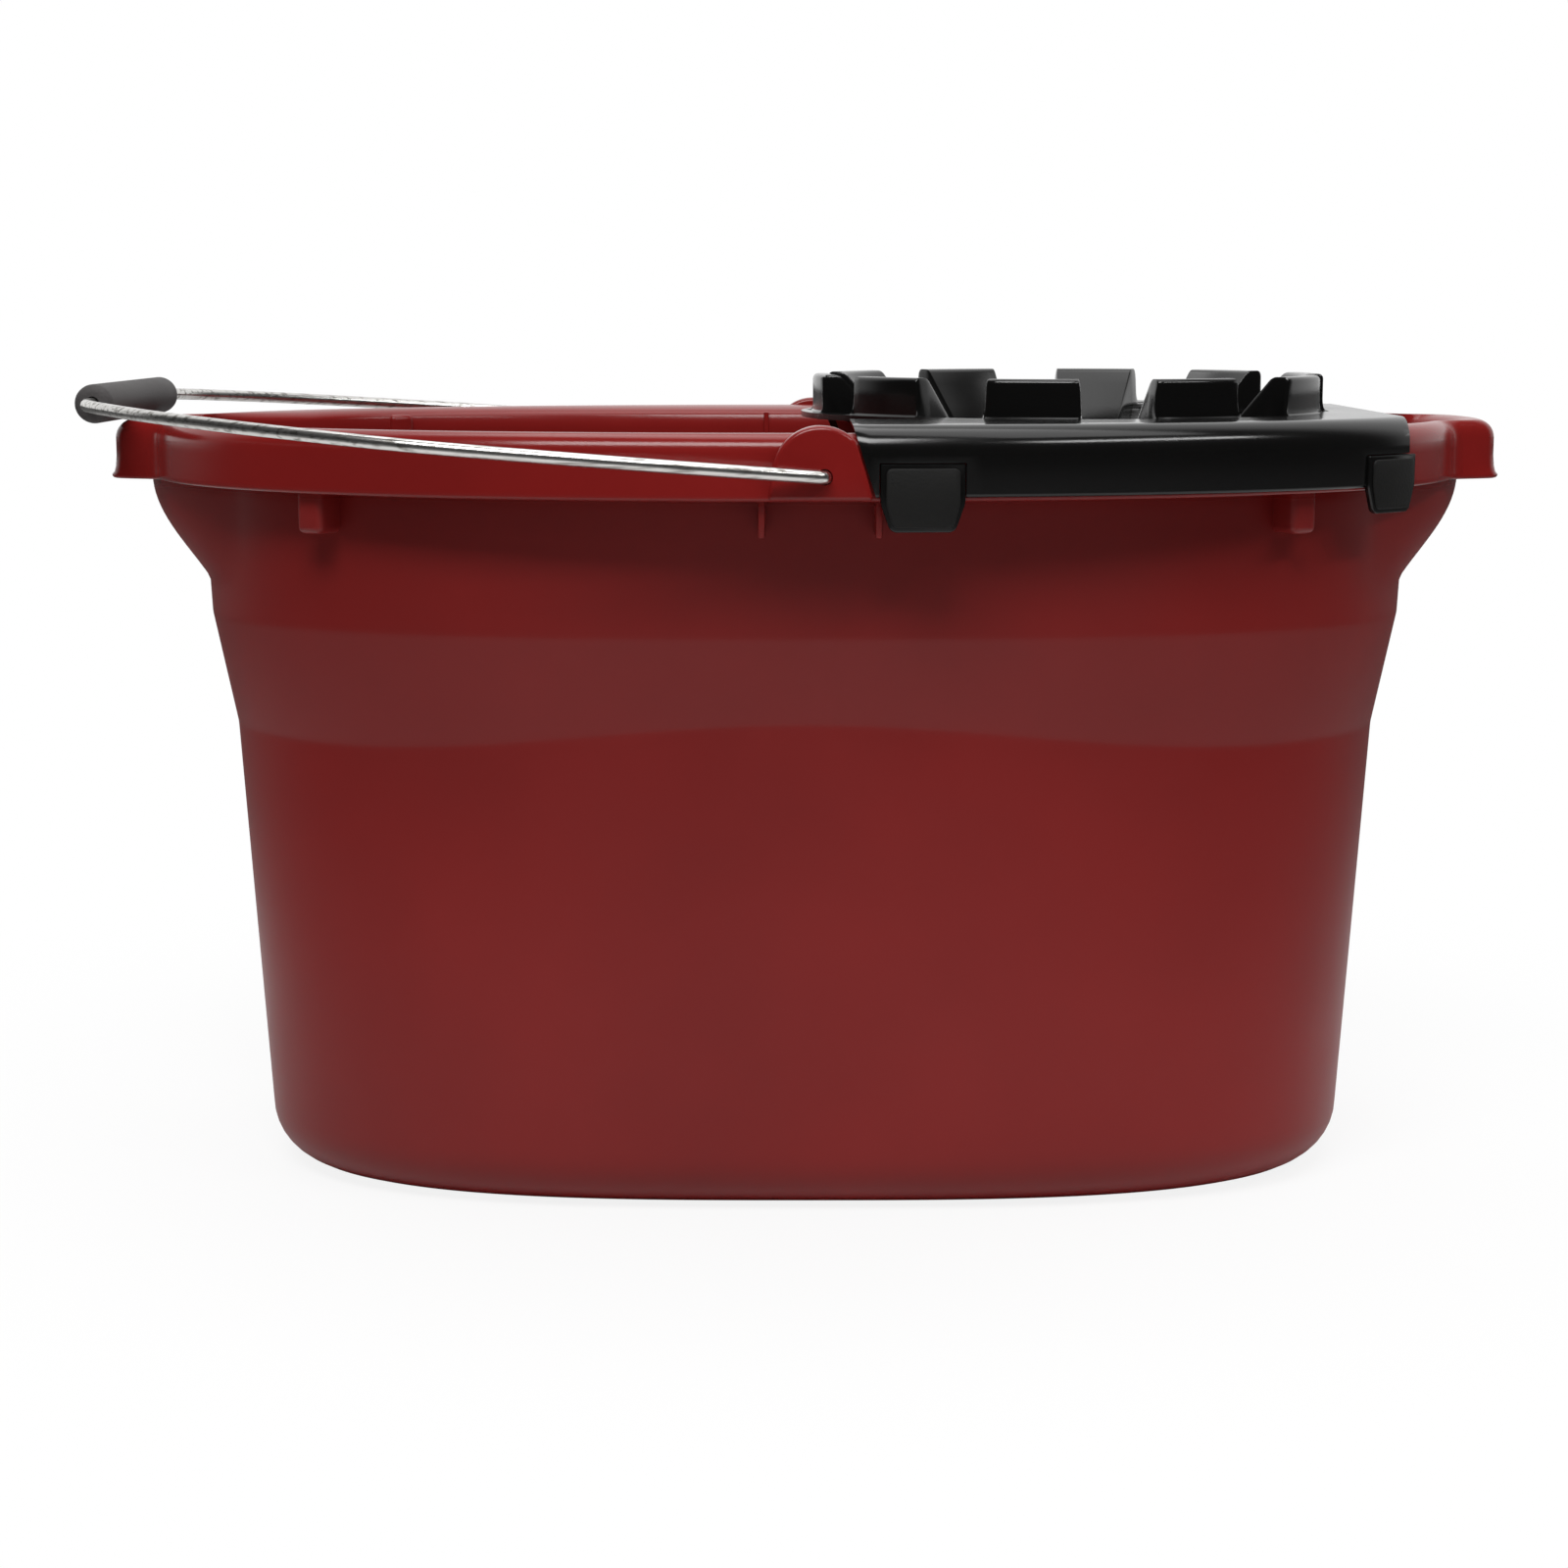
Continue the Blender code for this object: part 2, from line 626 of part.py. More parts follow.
def make_wringer(parts, cutters):
    black = material("black polypropylene", (0.012, 0.012, 0.013), 0.22, 0)

    def build_cover(bm):
        loft(bm, cover_rings(), False, cap_first=True)

    wringer = mesh_from("wringer", build_cover, parts, black)
    smooth(wringer)
    solidify(wringer, COVER)
    boolean(wringer, cover_keeper(cutters), "INTERSECT")
    radius = CROWN_RADIUS + MOUTH_CLEARANCE
    mouth = cylinder("cone_mouth", radius, SPAN, (CONE_X, 0, DECK_Z), cutters, sides=64)
    boolean(wringer, mouth, "DIFFERENCE")

    def build_basket(bm):
        loft(bm, basket_rings(), True, cap_last=True)

    basket = helper(mesh_from("basket", build_basket, cutters))
    solidify(basket, BASKET)
    boolean(wringer, basket, "UNION")
    cut_drains(wringer, cutters)
    cut_tab_windows(wringer, cutters)


def tab_rows(width, drop):
    """A tab's flat plate and raised pad, as rings in its own frame with the hinge at the origin."""
    top = -TAB_TOP_DROP - GAP
    bottom = -drop
    half = width / 2
    foot = half - TAB_CORNER[0]
    knee = bottom + TAB_CORNER[1]
    plate = [(-half, top), (half, top), (half, knee), (foot, bottom), (-foot, bottom), (-half, knee)]
    plate = [(x, z - top) for x, z in plate]
    middle = (bottom - top) / 2
    shrink_x = 1 - PAD_MARGIN / half
    shrink_z = 1 + PAD_MARGIN / middle
    pad = [(x * shrink_x, middle + (z - middle) * shrink_z) for x, z in plate]
    front = -TAB_THICK / 2
    rows = [[(x, y, z) for x, z in plate] for y in (TAB_THICK / 2, front)]
    rows.append([(x, front, z) for x, z in pad])
    rows.append([(x * PAD_TAPER, front - PAD_PROUD, z) for x, z in pad])
    return rows


def make_tabs(parts):
    """Clip tabs, turned square to the rim, each with its origin on its flex line."""
    matte = material("black tab", (0.015, 0.015, 0.016), 0.5, 0)
    for name, x, width, drop, side in TABS:
        place, direction = rim_point(x, side, GAP + TAB_STAND + TAB_THICK / 2)
        tab = mesh_from(name, lambda bm: loft_solid(bm, tab_rows(width, drop)), parts, matte)
        tab.location = (place.x, place.y, HEIGHT - TAB_TOP_DROP - GAP)
        tab.rotation_euler = facing(direction)


def smooth_path(points, steps):
    """A Catmull-Rom curve through the points, with steps points to each span."""
    ends = [2 * points[0] - points[1], *points, 2 * points[-1] - points[-2]]
    path = []
    for a, b, c, d in zip(ends, ends[1:], ends[2:], ends[3:]):
        for step in range(steps):
            t = step / steps
            path.append(
                0.5
                * (
                    2 * b
                    + (c - a) * t
                    + (2 * a - 5 * b + 4 * c - d) * t**2
                    + (3 * b - a - 3 * c + d) * t**3
                )
            )
    path.append(points[-1])
    return path


def bend(corner, start, end):
    """Points round the hook's bend at a corner between two straight runs at right angles."""
    back = (start - corner).normalized() * HOOK_RADIUS
    ahead = (end - corner).normalized() * HOOK_RADIUS
    turns = [step * pi / 8 for step in range(5)]
    return [corner + back * (1 - sin(turn)) + ahead * (1 - cos(turn)) for turn in turns]


def arm_points():
    """One side of the bail in its own plane: x from the pivot to the grip, y outwards."""
    tail_y = RIM_B - EAR_BACK - TAIL_SET - WIRE_RADIUS
    inner = Vector((0, tail_y, 0))
    outer = Vector((0, WIRE_Y, 0))
    tail = Vector((TAIL_LENGTH, tail_y, 0))
    ahead = outer + Vector((1, 0, 0))
    points = [tail, *bend(inner, tail, outer), *bend(outer, inner, ahead)]
    grip_end = GRIP_LENGTH / 2 + GRIP_SLACK
    spread = WIRE_Y + BAIL_BOW - grip_end
    sweep = [(ARM_START[0], WIRE_Y + ARM_START[1])]
    sweep += [(along * BAIL_REACH, WIRE_Y + out * BAIL_BOW) for along, out in ARM_BOWED]
    sweep.append((ARM_SHOULDER[0] * BAIL_REACH, grip_end + ARM_SHOULDER[1] * spread))
    sweep += [(BAIL_REACH - back, grip_end + out) for back, out in ARM_CORNER]
    return points + smooth_path([Vector((x, y, 0)) for x, y in sweep], 3)


def make_bail(parts):
    steel = material("zinc plated wire", (0.62, 0.61, 0.58), 0.25, 1)
    arm = arm_points()
    far = [Vector((p.x, -p.y, 0)) for p in reversed(arm)]
    curve = bpy.data.curves.new("bail", "CURVE")
    curve.dimensions = "3D"
    curve.bevel_depth = WIRE_RADIUS
    curve.bevel_resolution = 2
    curve.use_fill_caps = True
    spline = curve.splines.new("POLY")
    path = arm + far
    spline.points.add(len(path) - 1)
    for point, place in zip(spline.points, path):
        point.co = (*place, 1)
    bail = object_from("bail", curve, parts, steel)
    bail.location = (PIVOT_X, 0, PIVOT_Z)
    bail.rotation_euler = Euler((0, pi + BAIL_TILT, 0))


def make_grip(parts):
    """A turned tube round the bail's straight end."""
    charcoal = material("charcoal grip", (0.055, 0.053, 0.055), 0.6, 0)
    bore = WIRE_RADIUS + GRIP_CLEARANCE
    half = GRIP_LENGTH / 2
    profile = [(bore, half)]
    for end in (1, -1):
        for step in range(4):
            turn = pi / 2 - step * pi / 6 if end == 1 else -step * pi / 6
            r = GRIP_RADIUS - GRIP_END_RADIUS * (1 - cos(turn))
            profile.append((r, end * (half - GRIP_END_RADIUS) + GRIP_END_RADIUS * sin(turn)))
    profile.append((bore, -half))

    def build(bm):
        verts = [bm.verts.new((r, 0, z)) for r, z in profile]
        for a, b in zip(verts, verts[1:] + verts[:1]):
            bm.edges.new((a, b))

    grip = mesh_from("grip", build, parts, charcoal)
    turned = grip.modifiers.new("turned", "SCREW")
    turned.steps = 24
    turned.render_steps = 24
    turned.merge_threshold = 0.00001
    grip.location = (PIVOT_X - GRIP_RUN, 0, PIVOT_Z + GRIP_RISE)
    grip.rotation_euler = Euler((pi / 2, 0, 0))


def main():
    reset_scene()
    parts = collection("wash_bucket")
    cutters = collection("cutters")
    make_bucket(parts, cutters)
    make_wringer(parts, cutters)
    make_tabs(parts)
    make_bail(parts)
    make_grip(parts)


main()
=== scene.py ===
# %% [markdown]
# # An oval wash bucket with a clip-on wringer
# The object is a dark red plastic bucket with a pour spout at each end, a black cone wringer that
# clips over half of its rim, and a wire bail with a loose grip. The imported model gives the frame:
# its bodies and joints. This lesson makes a finer piece for each node and gives it a finish.

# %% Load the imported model
import math

import bpy
from mathutils import Euler, Matrix, Vector


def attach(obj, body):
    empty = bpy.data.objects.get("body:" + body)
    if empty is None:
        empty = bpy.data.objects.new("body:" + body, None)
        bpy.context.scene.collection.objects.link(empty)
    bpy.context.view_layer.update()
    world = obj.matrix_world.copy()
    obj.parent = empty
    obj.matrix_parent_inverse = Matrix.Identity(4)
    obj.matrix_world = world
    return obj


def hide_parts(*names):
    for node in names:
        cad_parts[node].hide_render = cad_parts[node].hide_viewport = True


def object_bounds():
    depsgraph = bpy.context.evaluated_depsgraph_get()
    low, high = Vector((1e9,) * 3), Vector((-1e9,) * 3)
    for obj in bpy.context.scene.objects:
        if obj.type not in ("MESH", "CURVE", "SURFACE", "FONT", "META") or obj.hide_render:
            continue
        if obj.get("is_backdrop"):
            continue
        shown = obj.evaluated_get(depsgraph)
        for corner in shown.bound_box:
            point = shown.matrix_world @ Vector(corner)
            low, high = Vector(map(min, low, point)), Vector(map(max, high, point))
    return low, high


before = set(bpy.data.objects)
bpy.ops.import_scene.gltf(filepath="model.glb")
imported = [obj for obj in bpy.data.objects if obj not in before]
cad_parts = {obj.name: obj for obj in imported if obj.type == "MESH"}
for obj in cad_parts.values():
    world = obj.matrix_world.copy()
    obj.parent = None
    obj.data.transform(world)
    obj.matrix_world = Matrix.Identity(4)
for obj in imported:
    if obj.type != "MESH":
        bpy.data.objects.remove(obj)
cad_low, cad_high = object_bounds()
size = cad_high - cad_low
print("CAD box, mm:", [round(1000 * side, 1) for side in size])

# %% [markdown]
# ## Tools for the whole lesson
# Most of the pieces are mouldings whose outline runs round an oval, so a flat grid is wrapped round
# it: each row of the grid becomes one level of the moulding. The seam and the poles close when
# points in the same place are merged.


# %% A grid wrapped into a closed skin
def active(piece):
    bpy.ops.object.select_all(action="DESELECT")
    piece.select_set(True)
    bpy.context.view_layer.objects.active = piece


def in_edit_mode(piece, *steps):
    """Runs each step on all of the piece's mesh."""
    active(piece)
    bpy.ops.object.mode_set(mode="EDIT")
    for step in steps:
        bpy.ops.mesh.select_all(action="SELECT")
        step()
    bpy.ops.object.mode_set(mode="OBJECT")


def merge_and_face_out():
    bpy.ops.mesh.remove_doubles(threshold=0.00002)
    bpy.ops.mesh.normals_make_consistent(inside=False)


def wrapped(name, columns, rows):
    """A skin through rows of points. Each row is a function of the share of a turn."""
    bpy.ops.object.select_all(action="DESELECT")
    across, up = columns, len(rows) - 1
    bpy.ops.mesh.primitive_grid_add(x_subdivisions=across, y_subdivisions=up, size=1)
    piece = bpy.context.object
    piece.name = piece.data.name = name
    for vertex in piece.data.vertices:
        turn = round((vertex.co.x + 0.5) * across) / across
        level = round((vertex.co.y + 0.5) * up)
        vertex.co = rows[level](turn % 1)
    in_edit_mode(piece, merge_and_face_out)
    return piece


def apply(piece, kind, **settings):
    active(piece)
    modifier = piece.modifiers.new(kind, kind)
    for key, value in settings.items():
        setattr(modifier, key, value)
    bpy.ops.object.modifier_apply(modifier=modifier.name)


def cut(piece, cutter, operation="DIFFERENCE"):
    apply(piece, "BOOLEAN", operation=operation, object=cutter, solver="EXACT")
    bpy.data.objects.remove(cutter, do_unlink=True)


def soften(piece, width, segments=2, angle=40):
    apply(
        piece,
        "BEVEL",
        width=width,
        segments=segments,
        limit_method="ANGLE",
        angle_limit=math.radians(angle),
        use_clamp_overlap=True,
        harden_normals=False,
    )


def smooth(piece, angle=30):
    active(piece)
    bpy.ops.object.shade_smooth_by_angle(angle=math.radians(angle))


def settle(piece):
    """Puts the piece's place into its mesh."""
    piece.data.transform(piece.matrix_basis)
    piece.matrix_basis = Matrix.Identity(4)


def block(name, size, place, turn=0):
    bpy.ops.object.select_all(action="DESELECT")
    bpy.ops.mesh.primitive_cube_add(size=1, location=place)
    piece = bpy.context.object
    piece.name = piece.data.name = name
    piece.scale = size
    piece.rotation_euler = Euler((0, 0, turn))
    bpy.context.view_layer.update()
    settle(piece)
    return piece


def rod(name, radius, length, place, along="Z", sides=96):
    bpy.ops.object.select_all(action="DESELECT")
    turn = (math.pi / 2, 0, 0) if along == "Y" else (0, 0, 0)
    bpy.ops.mesh.primitive_cylinder_add(
        vertices=sides, radius=radius, depth=length, location=place, rotation=turn
    )
    piece = bpy.context.object
    piece.name = piece.data.name = name
    bpy.context.view_layer.update()
    settle(piece)
    return piece


def plate(name, outline, depth, to_place):
    """An outline in the XZ plane, filled and drawn out along -Y, then put in its place."""
    bpy.ops.object.select_all(action="DESELECT")
    bpy.ops.mesh.primitive_circle_add(vertices=len(outline), fill_type="NGON")
    piece = bpy.context.object
    piece.name = piece.data.name = name
    for vertex, (x, z) in zip(piece.data.vertices, outline):
        vertex.co = (x, 0, z)
    active(piece)
    bpy.ops.object.mode_set(mode="EDIT")
    bpy.ops.mesh.select_all(action="SELECT")
    bpy.ops.mesh.extrude_region_move(TRANSFORM_OT_translate={"value": (0, -depth, 0)})
    bpy.ops.mesh.select_all(action="SELECT")
    bpy.ops.mesh.normals_make_consistent(inside=False)
    bpy.ops.object.mode_set(mode="OBJECT")
    piece.data.transform(to_place)
    return piece


def finished(piece, material, body, slot, *nodes):
    piece.data.materials.clear()
    piece.data.materials.append(material)
    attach(piece, body)
    if nodes:
        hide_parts(*nodes)
    print(piece.name, len(piece.data.polygons), "faces")
    return piece


# %% [markdown]
# ## The finishes
# Injection-moulded plastic is never quite even: the gloss drifts over a hand's width, and a fine
# grain from the mould breaks up each reflection. Both are made from noise in object coordinates,
# so they stay with a piece when it moves. Below its rim the bucket is satin rather than glossy, so
# the roughness also steps up there.


# %% Moulded plastic
SATIN_BELOW, GLOSSY_ABOVE = 0.224, 0.229


def moulded(name, colour, gloss, spread, grain, mirror=0.3, satin=0.0, drift=0.10):
    """Plastic with a base colour, a range of roughness and a fine grain, duller below the rim."""
    made = bpy.data.materials.new(name)
    made.use_nodes = True
    nodes, links = made.node_tree.nodes, made.node_tree.links
    shader = nodes["Principled BSDF"]
    shader.inputs["Specular IOR Level"].default_value = mirror
    shader.inputs["IOR"].default_value = 1.49
    place = nodes.new("ShaderNodeTexCoord").outputs["Object"]

    def noise(scale, detail):
        texture = nodes.new("ShaderNodeTexNoise")
        texture.inputs["Scale"].default_value = scale
        texture.inputs["Detail"].default_value = detail
        links.new(place, texture.inputs["Vector"])
        return texture.outputs["Fac"]

    def ranged(value, low, high):
        node = nodes.new("ShaderNodeMapRange")
        node.inputs["From Min"].default_value = 0.3
        node.inputs["From Max"].default_value = 0.7
        node.inputs["To Min"].default_value = low
        node.inputs["To Max"].default_value = high
        links.new(value, node.inputs["Value"])
        return node.outputs["Result"]

    tint = nodes.new("ShaderNodeMix")
    tint.data_type = "RGBA"
    tint.inputs["A"].default_value = (*(c * (1 - drift) for c in colour), 1)
    tint.inputs["B"].default_value = (*(c * (1 + drift) for c in colour), 1)
    links.new(ranged(noise(9, 3), 0, 1), tint.inputs["Factor"])
    links.new(tint.outputs["Result"], shader.inputs["Base Color"])
    height = nodes.new("ShaderNodeSeparateXYZ")
    links.new(place, height.inputs[0])
    below = nodes.new("ShaderNodeMapRange")
    below.inputs["From Min"].default_value = SATIN_BELOW
    below.inputs["From Max"].default_value = GLOSSY_ABOVE
    below.inputs["To Min"].default_value = satin
    below.inputs["To Max"].default_value = 0
    links.new(height.outputs["Z"], below.inputs["Value"])
    rough = nodes.new("ShaderNodeMath")
    links.new(ranged(noise(22, 4), gloss, gloss + spread), rough.inputs[0])
    links.new(below.outputs["Result"], rough.inputs[1])
    links.new(rough.outputs["Value"], shader.inputs["Roughness"])
    bump = nodes.new("ShaderNodeBump")
    bump.inputs["Strength"].default_value = grain
    bump.inputs["Distance"].default_value = 0.0002
    links.new(noise(1400, 2), bump.inputs["Height"])
    links.new(bump.outputs["Normal"], shader.inputs["Normal"])
    return made


red_gloss = moulded("red_moulding", (0.185, 0.0095, 0.0085), 0.17, 0.06, 0.08, 0.3, 0.22)
black_gloss = moulded("black_gloss", (0.0036, 0.0035, 0.0034), 0.14, 0.05, 0.05, 0.4)
black_matte = moulded("black_matte", (0.0065, 0.0064, 0.0060), 0.50, 0.10, 0.5, 0.25)
charcoal = moulded("charcoal_foam", (0.058, 0.054, 0.054), 0.60, 0.12, 0.7, 0.2)


# %% [markdown]
# The bail is zinc-plated wire. Plating on drawn wire keeps the die's lines, which run along the
# wire, so the noise is stretched that way and darkens thin streaks.


# %% Plated wire
def plated(name):
    made = bpy.data.materials.new(name)
    made.use_nodes = True
    nodes, links = made.node_tree.nodes, made.node_tree.links
    shader = nodes["Principled BSDF"]
    shader.inputs["Metallic"].default_value = 1
    place = nodes.new("ShaderNodeTexCoord").outputs["Object"]
    stretch = nodes.new("ShaderNodeMapping")
    stretch.inputs["Scale"].default_value = (0.05, 1, 1)
    links.new(place, stretch.inputs["Vector"])
    streaks = nodes.new("ShaderNodeTexNoise")
    streaks.inputs["Scale"].default_value = 900
    streaks.inputs["Detail"].default_value = 3
    links.new(stretch.outputs["Vector"], streaks.inputs["Vector"])
    ramp = nodes.new("ShaderNodeValToRGB")
    ramp.color_ramp.elements[0].position = 0.30
    ramp.color_ramp.elements[0].color = (0.20, 0.19, 0.17, 1)
    ramp.color_ramp.elements[1].position = 0.50
    ramp.color_ramp.elements[1].color = (0.66, 0.65, 0.63, 1)
    links.new(streaks.outputs["Fac"], ramp.inputs["Fac"])
    links.new(ramp.outputs["Color"], shader.inputs["Base Color"])
    rough = nodes.new("ShaderNodeMapRange")
    rough.inputs["To Min"].default_value = 0.30
    rough.inputs["To Max"].default_value = 0.20
    links.new(streaks.outputs["Fac"], rough.inputs["Value"])
    links.new(rough.outputs["Result"], shader.inputs["Roughness"])
    bump = nodes.new("ShaderNodeBump")
    bump.inputs["Strength"].default_value = 0.10
    bump.inputs["Distance"].default_value = 0.0001
    links.new(streaks.outputs["Fac"], bump.inputs["Height"])
    links.new(bump.outputs["Normal"], shader.inputs["Normal"])
    return made


zinc = plated("zinc_wire")

# %% [markdown]
# ## The bucket
# The shell is one moulding. Its plan is an oval a little fuller than an ellipse, drafted so that it
# leaves the mould: it steps in at a sloping band, narrows to the base and stands on a low ring. At
# the top a flange turns out and down into a skirt, and each end of it runs out into a spout.

# %% The oval and its levels
HEIGHT = 0.249
WALL = 0.0022
RIM_A, RIM_B = 0.219, 0.136
WALL_A, WALL_B = RIM_A - 0.0152, RIM_B - 0.0190
CROWDING = 0.5


def oval(turn, a, b, fullness):
    """A point at a share of a turn round an oval, with more points at its ends."""
    angle = 2 * math.pi * turn
    angle -= CROWDING * math.sin(2 * angle) / 2
    c, s = math.cos(angle), math.sin(angle)
    x = a * math.copysign(abs(c) ** (2 / fullness), c)
    y = b * math.copysign(abs(s) ** (2 / fullness), s)
    return x, y


SKIRT_Z = HEIGHT - 0.0201
SCOOP_Z = HEIGHT - 0.052
SCOOP_DEPTH = 0.0185
SCOOP_HALF_WIDTH = 0.062


def scoop(y, z):
    """How far the hollow under a spout stands out from the wall."""
    across = max(0, 1 - (y / SCOOP_HALF_WIDTH) ** 2) ** 1.5
    rise = min(1, max(0, (z - SCOOP_Z) / (SKIRT_Z - SCOOP_Z)))
    return SCOOP_DEPTH * across * math.sin(rise * math.pi / 2)


WAVE = 0.0100
WAVE_LENGTH = 0.80


def wall_level(end_inset, side_inset, z, fullness, wave=0.0):
    """One level of the body wall, inset from the wall's plan at the rim."""
    a, b = WALL_A - end_inset, WALL_B - side_inset

    def point(turn):
        x, y = oval(turn, a, b, fullness)
        lift = (1 + math.cos(min(abs(x) / (WAVE_LENGTH * a), 1) * math.pi)) / 2
        return x + math.copysign(scoop(y, z), x), y, z + wave * WAVE * lift

    return point


SPOUT_REACH = 0.0132
SPOUT_HALF_WIDTH = 0.028
SPOUT_SQUARENESS = 20
SPOUT_FLARE = 0.0017
SKIRT_RISE = 0.0008
RIM_FULLNESS = 2.1


def rim_normal(x, y):
    """Outward direction of the rim's plan at a point on it."""
    along = math.copysign((abs(x) / RIM_A) ** (RIM_FULLNESS - 1) / RIM_A, x)
    across = math.copysign((abs(y) / RIM_B) ** (RIM_FULLNESS - 1) / RIM_B, y)
    return Vector((along, across, 0)).normalized()


def rim_plan(turn, out):
    """The rim's plan, moved outwards by the same distance all round."""
    x, y = oval(turn, RIM_A, RIM_B, RIM_FULLNESS)
    normal = rim_normal(x, y)
    return x + normal.x * out, y + normal.y * out


def rim_level(inset, z, reach=SPOUT_REACH, rise=0.0):
    """One level of the rim, run out at the spouts and raised a little towards the ends."""

    def point(turn):
        x, y = rim_plan(turn, -inset)
        share = 1 / (1 + (abs(y) / SPOUT_HALF_WIDTH) ** SPOUT_SQUARENESS)
        lift = rise * SKIRT_RISE * min(1, abs(x) / RIM_A) ** 4
        return x + math.copysign(reach * share, x), y, z + lift

    return point


RIM_RADIUS = 0.006
TOP_FULLNESS = 2.3


def flange_level(share, z, wall_inset=0.0):
    """One ring of the flange, between the wall's plan and the rim's."""
    wall = wall_level(wall_inset, wall_inset, z, TOP_FULLNESS)
    rim = rim_level(RIM_RADIUS, z)

    def point(turn):
        w, r = wall(turn), rim(turn)
        return w[0] + share * (r[0] - w[0]), w[1] + share * (r[1] - w[1]), z

    return point


# %% [markdown]
# The levels run from the middle of the underside out to the foot, up the outside, under the flange,
# round the bottom of the skirt, over the rim and down the inside to the middle of the floor. Levels
# close together at an edge are its small moulded radius.

# %% Levels of the outside of the body
BAND_TOP, BAND_TOP_INSET = HEIGHT - 0.0635, 0.0033
BAND_LOW, BAND_LOW_INSET = HEIGHT - 0.1010, 0.0106
BASE_END_INSET, BASE_SIDE_INSET = 0.0205, 0.0118
BASE_RADIUS = 0.019
BASE_FULLNESS, BAND_FULLNESS = 3.0, 2.5
FOOT_RISE, FOOT_WIDTH = 0.002, 0.005


def mixed(low, high, share):
    return [a + share * (b - a) for a, b in zip(low, high)]


def body_points(thick):
    """Insets, z, fullness and wave up the wall, for the outside (0) or the inside (WALL)."""
    base = [BASE_END_INSET + thick, BASE_SIDE_INSET + thick, BASE_RADIUS, BASE_FULLNESS, 0]
    low = [BAND_LOW_INSET + thick, BAND_LOW_INSET + thick, BAND_LOW, BAND_FULLNESS, 1]
    top = [BAND_TOP_INSET + thick, BAND_TOP_INSET + thick, BAND_TOP, BAND_FULLNESS, 0]
    rim = [thick, thick, HEIGHT - WALL - 0.006, TOP_FULLNESS, 0]
    points = [mixed(base, low, step / 22) for step in range(1, 22)]
    points += [mixed(base, low, 0.988), mixed(base, low, 0.996)]
    points += [mixed(low, top, 0.016), mixed(low, top, 0.045)]
    points += [mixed(low, top, step / 9) for step in range(1, 9)]
    points += [mixed(low, top, 0.955), mixed(low, top, 0.985)]
    points += [mixed(top, rim, 0.010), mixed(top, rim, 0.030)]
    points += [mixed(top, rim, step / 26) for step in range(2, 27)]
    return points


def base_level(inset, z, share=1.0):
    """One level of the base, inset from where the base's round edge starts."""
    whole = wall_level(BASE_END_INSET + inset, BASE_SIDE_INSET + inset, z, BASE_FULLNESS)

    def point(turn):
        x, y, height = whole(turn)
        return x * share, y * share, height

    return point


def base_levels(thick):
    """From the middle of the floor to the top of the base's round edge."""
    lift = thick + FOOT_RISE if thick else 0
    flat = FOOT_RISE + thick
    foot = BASE_RADIUS + FOOT_WIDTH
    radius = BASE_RADIUS - thick
    levels = [base_level(foot, flat, share) for share in (0.0001, 0.2, 0.5, 0.75)]
    if not thick:
        levels.append(base_level(foot + FOOT_RISE, flat))
        levels.append(base_level(foot + 0.0003, 0.0003))
        levels.append(base_level(foot - 0.0003, 0))
    for step in range(11):
        turn = step * math.pi / 20
        inset = thick + radius * (1 - math.sin(turn))
        levels.append(base_level(inset, lift + (BASE_RADIUS - lift) * (1 - math.cos(turn))))
    return levels


# %% [markdown]
# The flange is slightly domed, so its top falls towards the wall instead of lying flat. The skirt's
# wall is as thick as the body's, and its free edge is round. At the spouts it flares as it goes down.

# %% Levels of the flange, the skirt and the rim
UNDER = HEIGHT - WALL
FLARED = SPOUT_REACH + SPOUT_FLARE
levels = base_levels(0)
levels += [wall_level(*point) for point in body_points(0)]
FLANGE_DOME = (
    (1.0, 0.0),
    (0.8, 0.0001),
    (0.5, 0.0006),
    (0.25, 0.0015),
    (0.1, 0.0024),
    (0.03, 0.0036),
)
for share, drop in reversed(FLANGE_DOME):
    levels.append(flange_level(share, UNDER - drop))
inner = RIM_RADIUS - WALL
for step in range(1, 7):
    turn = step * math.pi / 12
    inset = WALL + inner * (1 - math.sin(turn))
    levels.append(rim_level(inset, UNDER - inner * (1 - math.cos(turn))))
skirt_steps = (0.2, 0.45, 0.7, 0.85)
depth = HEIGHT - RIM_RADIUS - SKIRT_Z


def flare(share):
    """The reach of the spout at a share of the skirt's depth."""
    return SPOUT_REACH + SPOUT_FLARE * max(0, (share - 0.45) / 0.55) ** 2


for share in skirt_steps:
    levels.append(rim_level(WALL, HEIGHT - RIM_RADIUS - share * depth, flare(share), share))
for step in range(7):
    turn = step * math.pi / 6
    inset = WALL / 2 * (1 + math.cos(turn))
    levels.append(rim_level(inset, SKIRT_Z + WALL / 2 * (1 - math.sin(turn)), FLARED, 1))
for share in reversed(skirt_steps):
    levels.append(rim_level(0, HEIGHT - RIM_RADIUS - share * depth, flare(share), share))
for step in range(9):
    turn = step * math.pi / 16
    inset = RIM_RADIUS * (1 - math.cos(turn))
    levels.append(rim_level(inset, HEIGHT - RIM_RADIUS * (1 - math.sin(turn))))
for share, drop in FLANGE_DOME[1:]:
    levels.append(flange_level(share, HEIGHT - drop, WALL))
levels += [wall_level(*point) for point in reversed(body_points(WALL))]
levels += reversed(base_levels(WALL))
print(len(levels), "levels")

# %% [markdown]
# All the levels are wrapped into one closed skin. A hole is drilled through the skirt on each side,
# where the hooked ends of the bail will turn.

